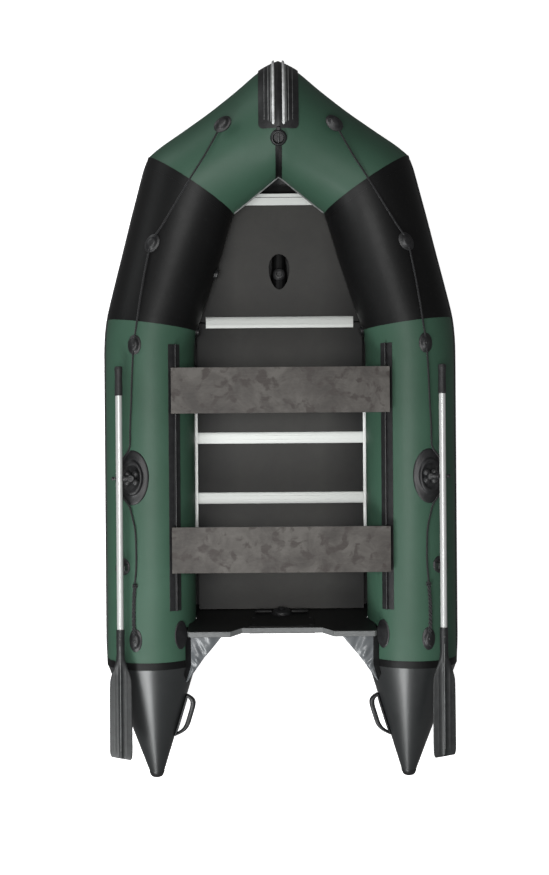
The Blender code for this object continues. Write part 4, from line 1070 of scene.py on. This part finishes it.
# ---- lifelines, handles, valves ----
LINE = [(0.235, 1.35), (0.262, 1.318), (0.33, 1.205), (0.4, 1.105), (0.475, 0.99), (0.53, 0.905),
    (0.578, 0.831), (0.61, 0.7), (0.635, 0.56), (0.65, 0.46), (0.663, 0.371), (0.671, 0.25),
    (0.677, 0.1), (0.682, 0.0), (0.683, -0.06), (0.684, -0.095, 0.01), (0.694, -0.122, 0.0135),
    (0.713, -0.147, 0.014), (0.731, -0.172, 0.014), (0.741, -0.203, 0.014), (0.744, -0.236, 0.014),
    (0.741, -0.269, 0.014), (0.731, -0.3, 0.014), (0.713, -0.325, 0.014), (0.694, -0.35, 0.0135),
    (0.683, -0.377, 0.01), (0.675, -0.415), (0.664, -0.465), (0.66, -0.52), (0.659, -0.62),
    (0.664, -0.7), (0.671, -0.8), (0.672, -0.9), (0.668, -0.976), (0.668, -1.01)]


def lifelines():
    flat = smooth_line([(q[0], q[1], q[2] if len(q) > 2 else 0.0078) for q in LINE], 5)
    for side, s in PAIR:
        pts = [over(p.x, p.y, p.z) for p in flat]
        pts = [Vector((p.x * side, p.y + D, p.z)) for p in pts]
        cu = bpy.data.curves.new(f"lifeline_{s}_rope", "CURVE")
        cu.dimensions = "3D"
        cu.bevel_depth, cu.bevel_resolution = 0.004, 5
        cu.use_fill_caps = True
        sp = cu.splines.new("POLY")
        sp.points.add(len(pts) - 1)
        for q, p in zip(sp.points, pts):
            q.co = (*p, 1)
        cu.materials.append(ROPE)
        o = new_object(f"lifeline_{s}_rope", cu)
        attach(o, "hull")
        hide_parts(f"lifeline_{s}")
        # the aft end is doubled back and laid up round the standing part
        run = [p for p in flat if -1.012 < p.y < -0.7]
        for turn in (0, 1):
            twist = []
            for q in range(len(run) - 1):
                for j in range(6):
                    w = run[q].lerp(run[q + 1], j / 6)
                    phi = 2 * pi * (w.y + 1.012) / 0.036 + pi * turn
                    c = over(w.x, w.y, 0.0078)
                    grow = min(1.0, (q + j / 6) / 1.5)
                    twist.append(((c.x + 0.005 * grow * cos(phi)) * side, c.y,
                        c.z + 0.0012 * grow * (1 + sin(phi))))
            piece(f"lifeline_{s}_turn_back_{turn + 1}", tube_along(twist, 0.0042, 14),
                ROPE, smooth=60)
        for k, yk in enumerate((-0.722, -0.731)):
            c = over(0.6655, yk, 0.0088)
            ring = [((c.x + 0.0095 * cos(a)) * side, yk + 0.002 * sin(2 * a),
                c.z + 0.006 * sin(a)) for a in np.linspace(0, 2 * pi, 28)]
            piece(f"lifeline_{s}_seizing_{k + 1}", tube_along(ring, 0.003, 10,
                up=(0, 1, 0)), ROPE, smooth=60)


def handles():
    """Moulded carrying loop on the inner side of each cone, on a base moulded along the skin."""
    def bar(x0, x1, y, hz):
        xm, hx = (x0 + x1) / 2, abs(x0 - x1) / 2
        out = []
        for t in np.linspace(0, 2 * pi, 28, endpoint=False):
            ct, st = cos(t), sin(t)
            out.append((xm + hx * copysign(abs(ct) ** 0.6, ct), y,
                HANDLE_Z + hz * copysign(abs(st) ** 0.6, st)))
        return out
    for side, s in PAIR:
        loop, base = [], []
        for t in np.linspace(-1, 1, 49):
            y = HANDLE_Y + HANDLE_HALF * t
            skin_x = cone_c(y).x - cone_r(y) - 0.0015
            outer = skin_x - 0.004 - 0.051 * (1 - abs(t) ** 5)
            inner = min(skin_x + 0.002, outer + 0.024)
            loop.append(bar(inner, outer, y, 0.017 + 0.008 * t * t))
            deep = 0.0078 * max(0.15, 1 - abs(t) ** 8)
            base.append(bar(skin_x + 0.003, skin_x - deep, y, 0.026 - 0.004 * t * t))
        piece(f"stern_handle_{s}_loop", mir(loft(loop), side), RUBBER, reps=(f"stern_handle_{s}",))
        piece(f"stern_handle_{s}_base", mir(loft(base), side), RUBBER)


def valves():
    """Inflation valves on the inner side of the tubes: flange and cap."""
    ang = -88
    for tag, (side, s), y in (("bow", PAIR[0], 0.79), ("side", PAIR[0], 0.47),
                              ("side", PAIR[1], 0.47)):
        f = frame_at(y)
        n = (at(f, ang, 1.0) - at(f, ang, 0.0)).normalized()
        c = at(f, ang, R + 0.0005)
        c, n = Vector((c.x * side, c.y, c.z)), Vector((n.x * side, n.y, n.z))
        prof = mm((0, 0), (30, 0), (30, 2.5), (26, 4), (21, 4.5), (21, 12), (19, 14), (8, 15),
            (0, 15))
        piece(f"inflation_valve_{tag}_{s}", lathe(prof, 56, c, n), PLASTIC)


lifelines()
tubes()
cones()
bottom()
eyelets()
strakes()
bow()
floor()
transom()
seats()
rowlocks()
handles()
valves()
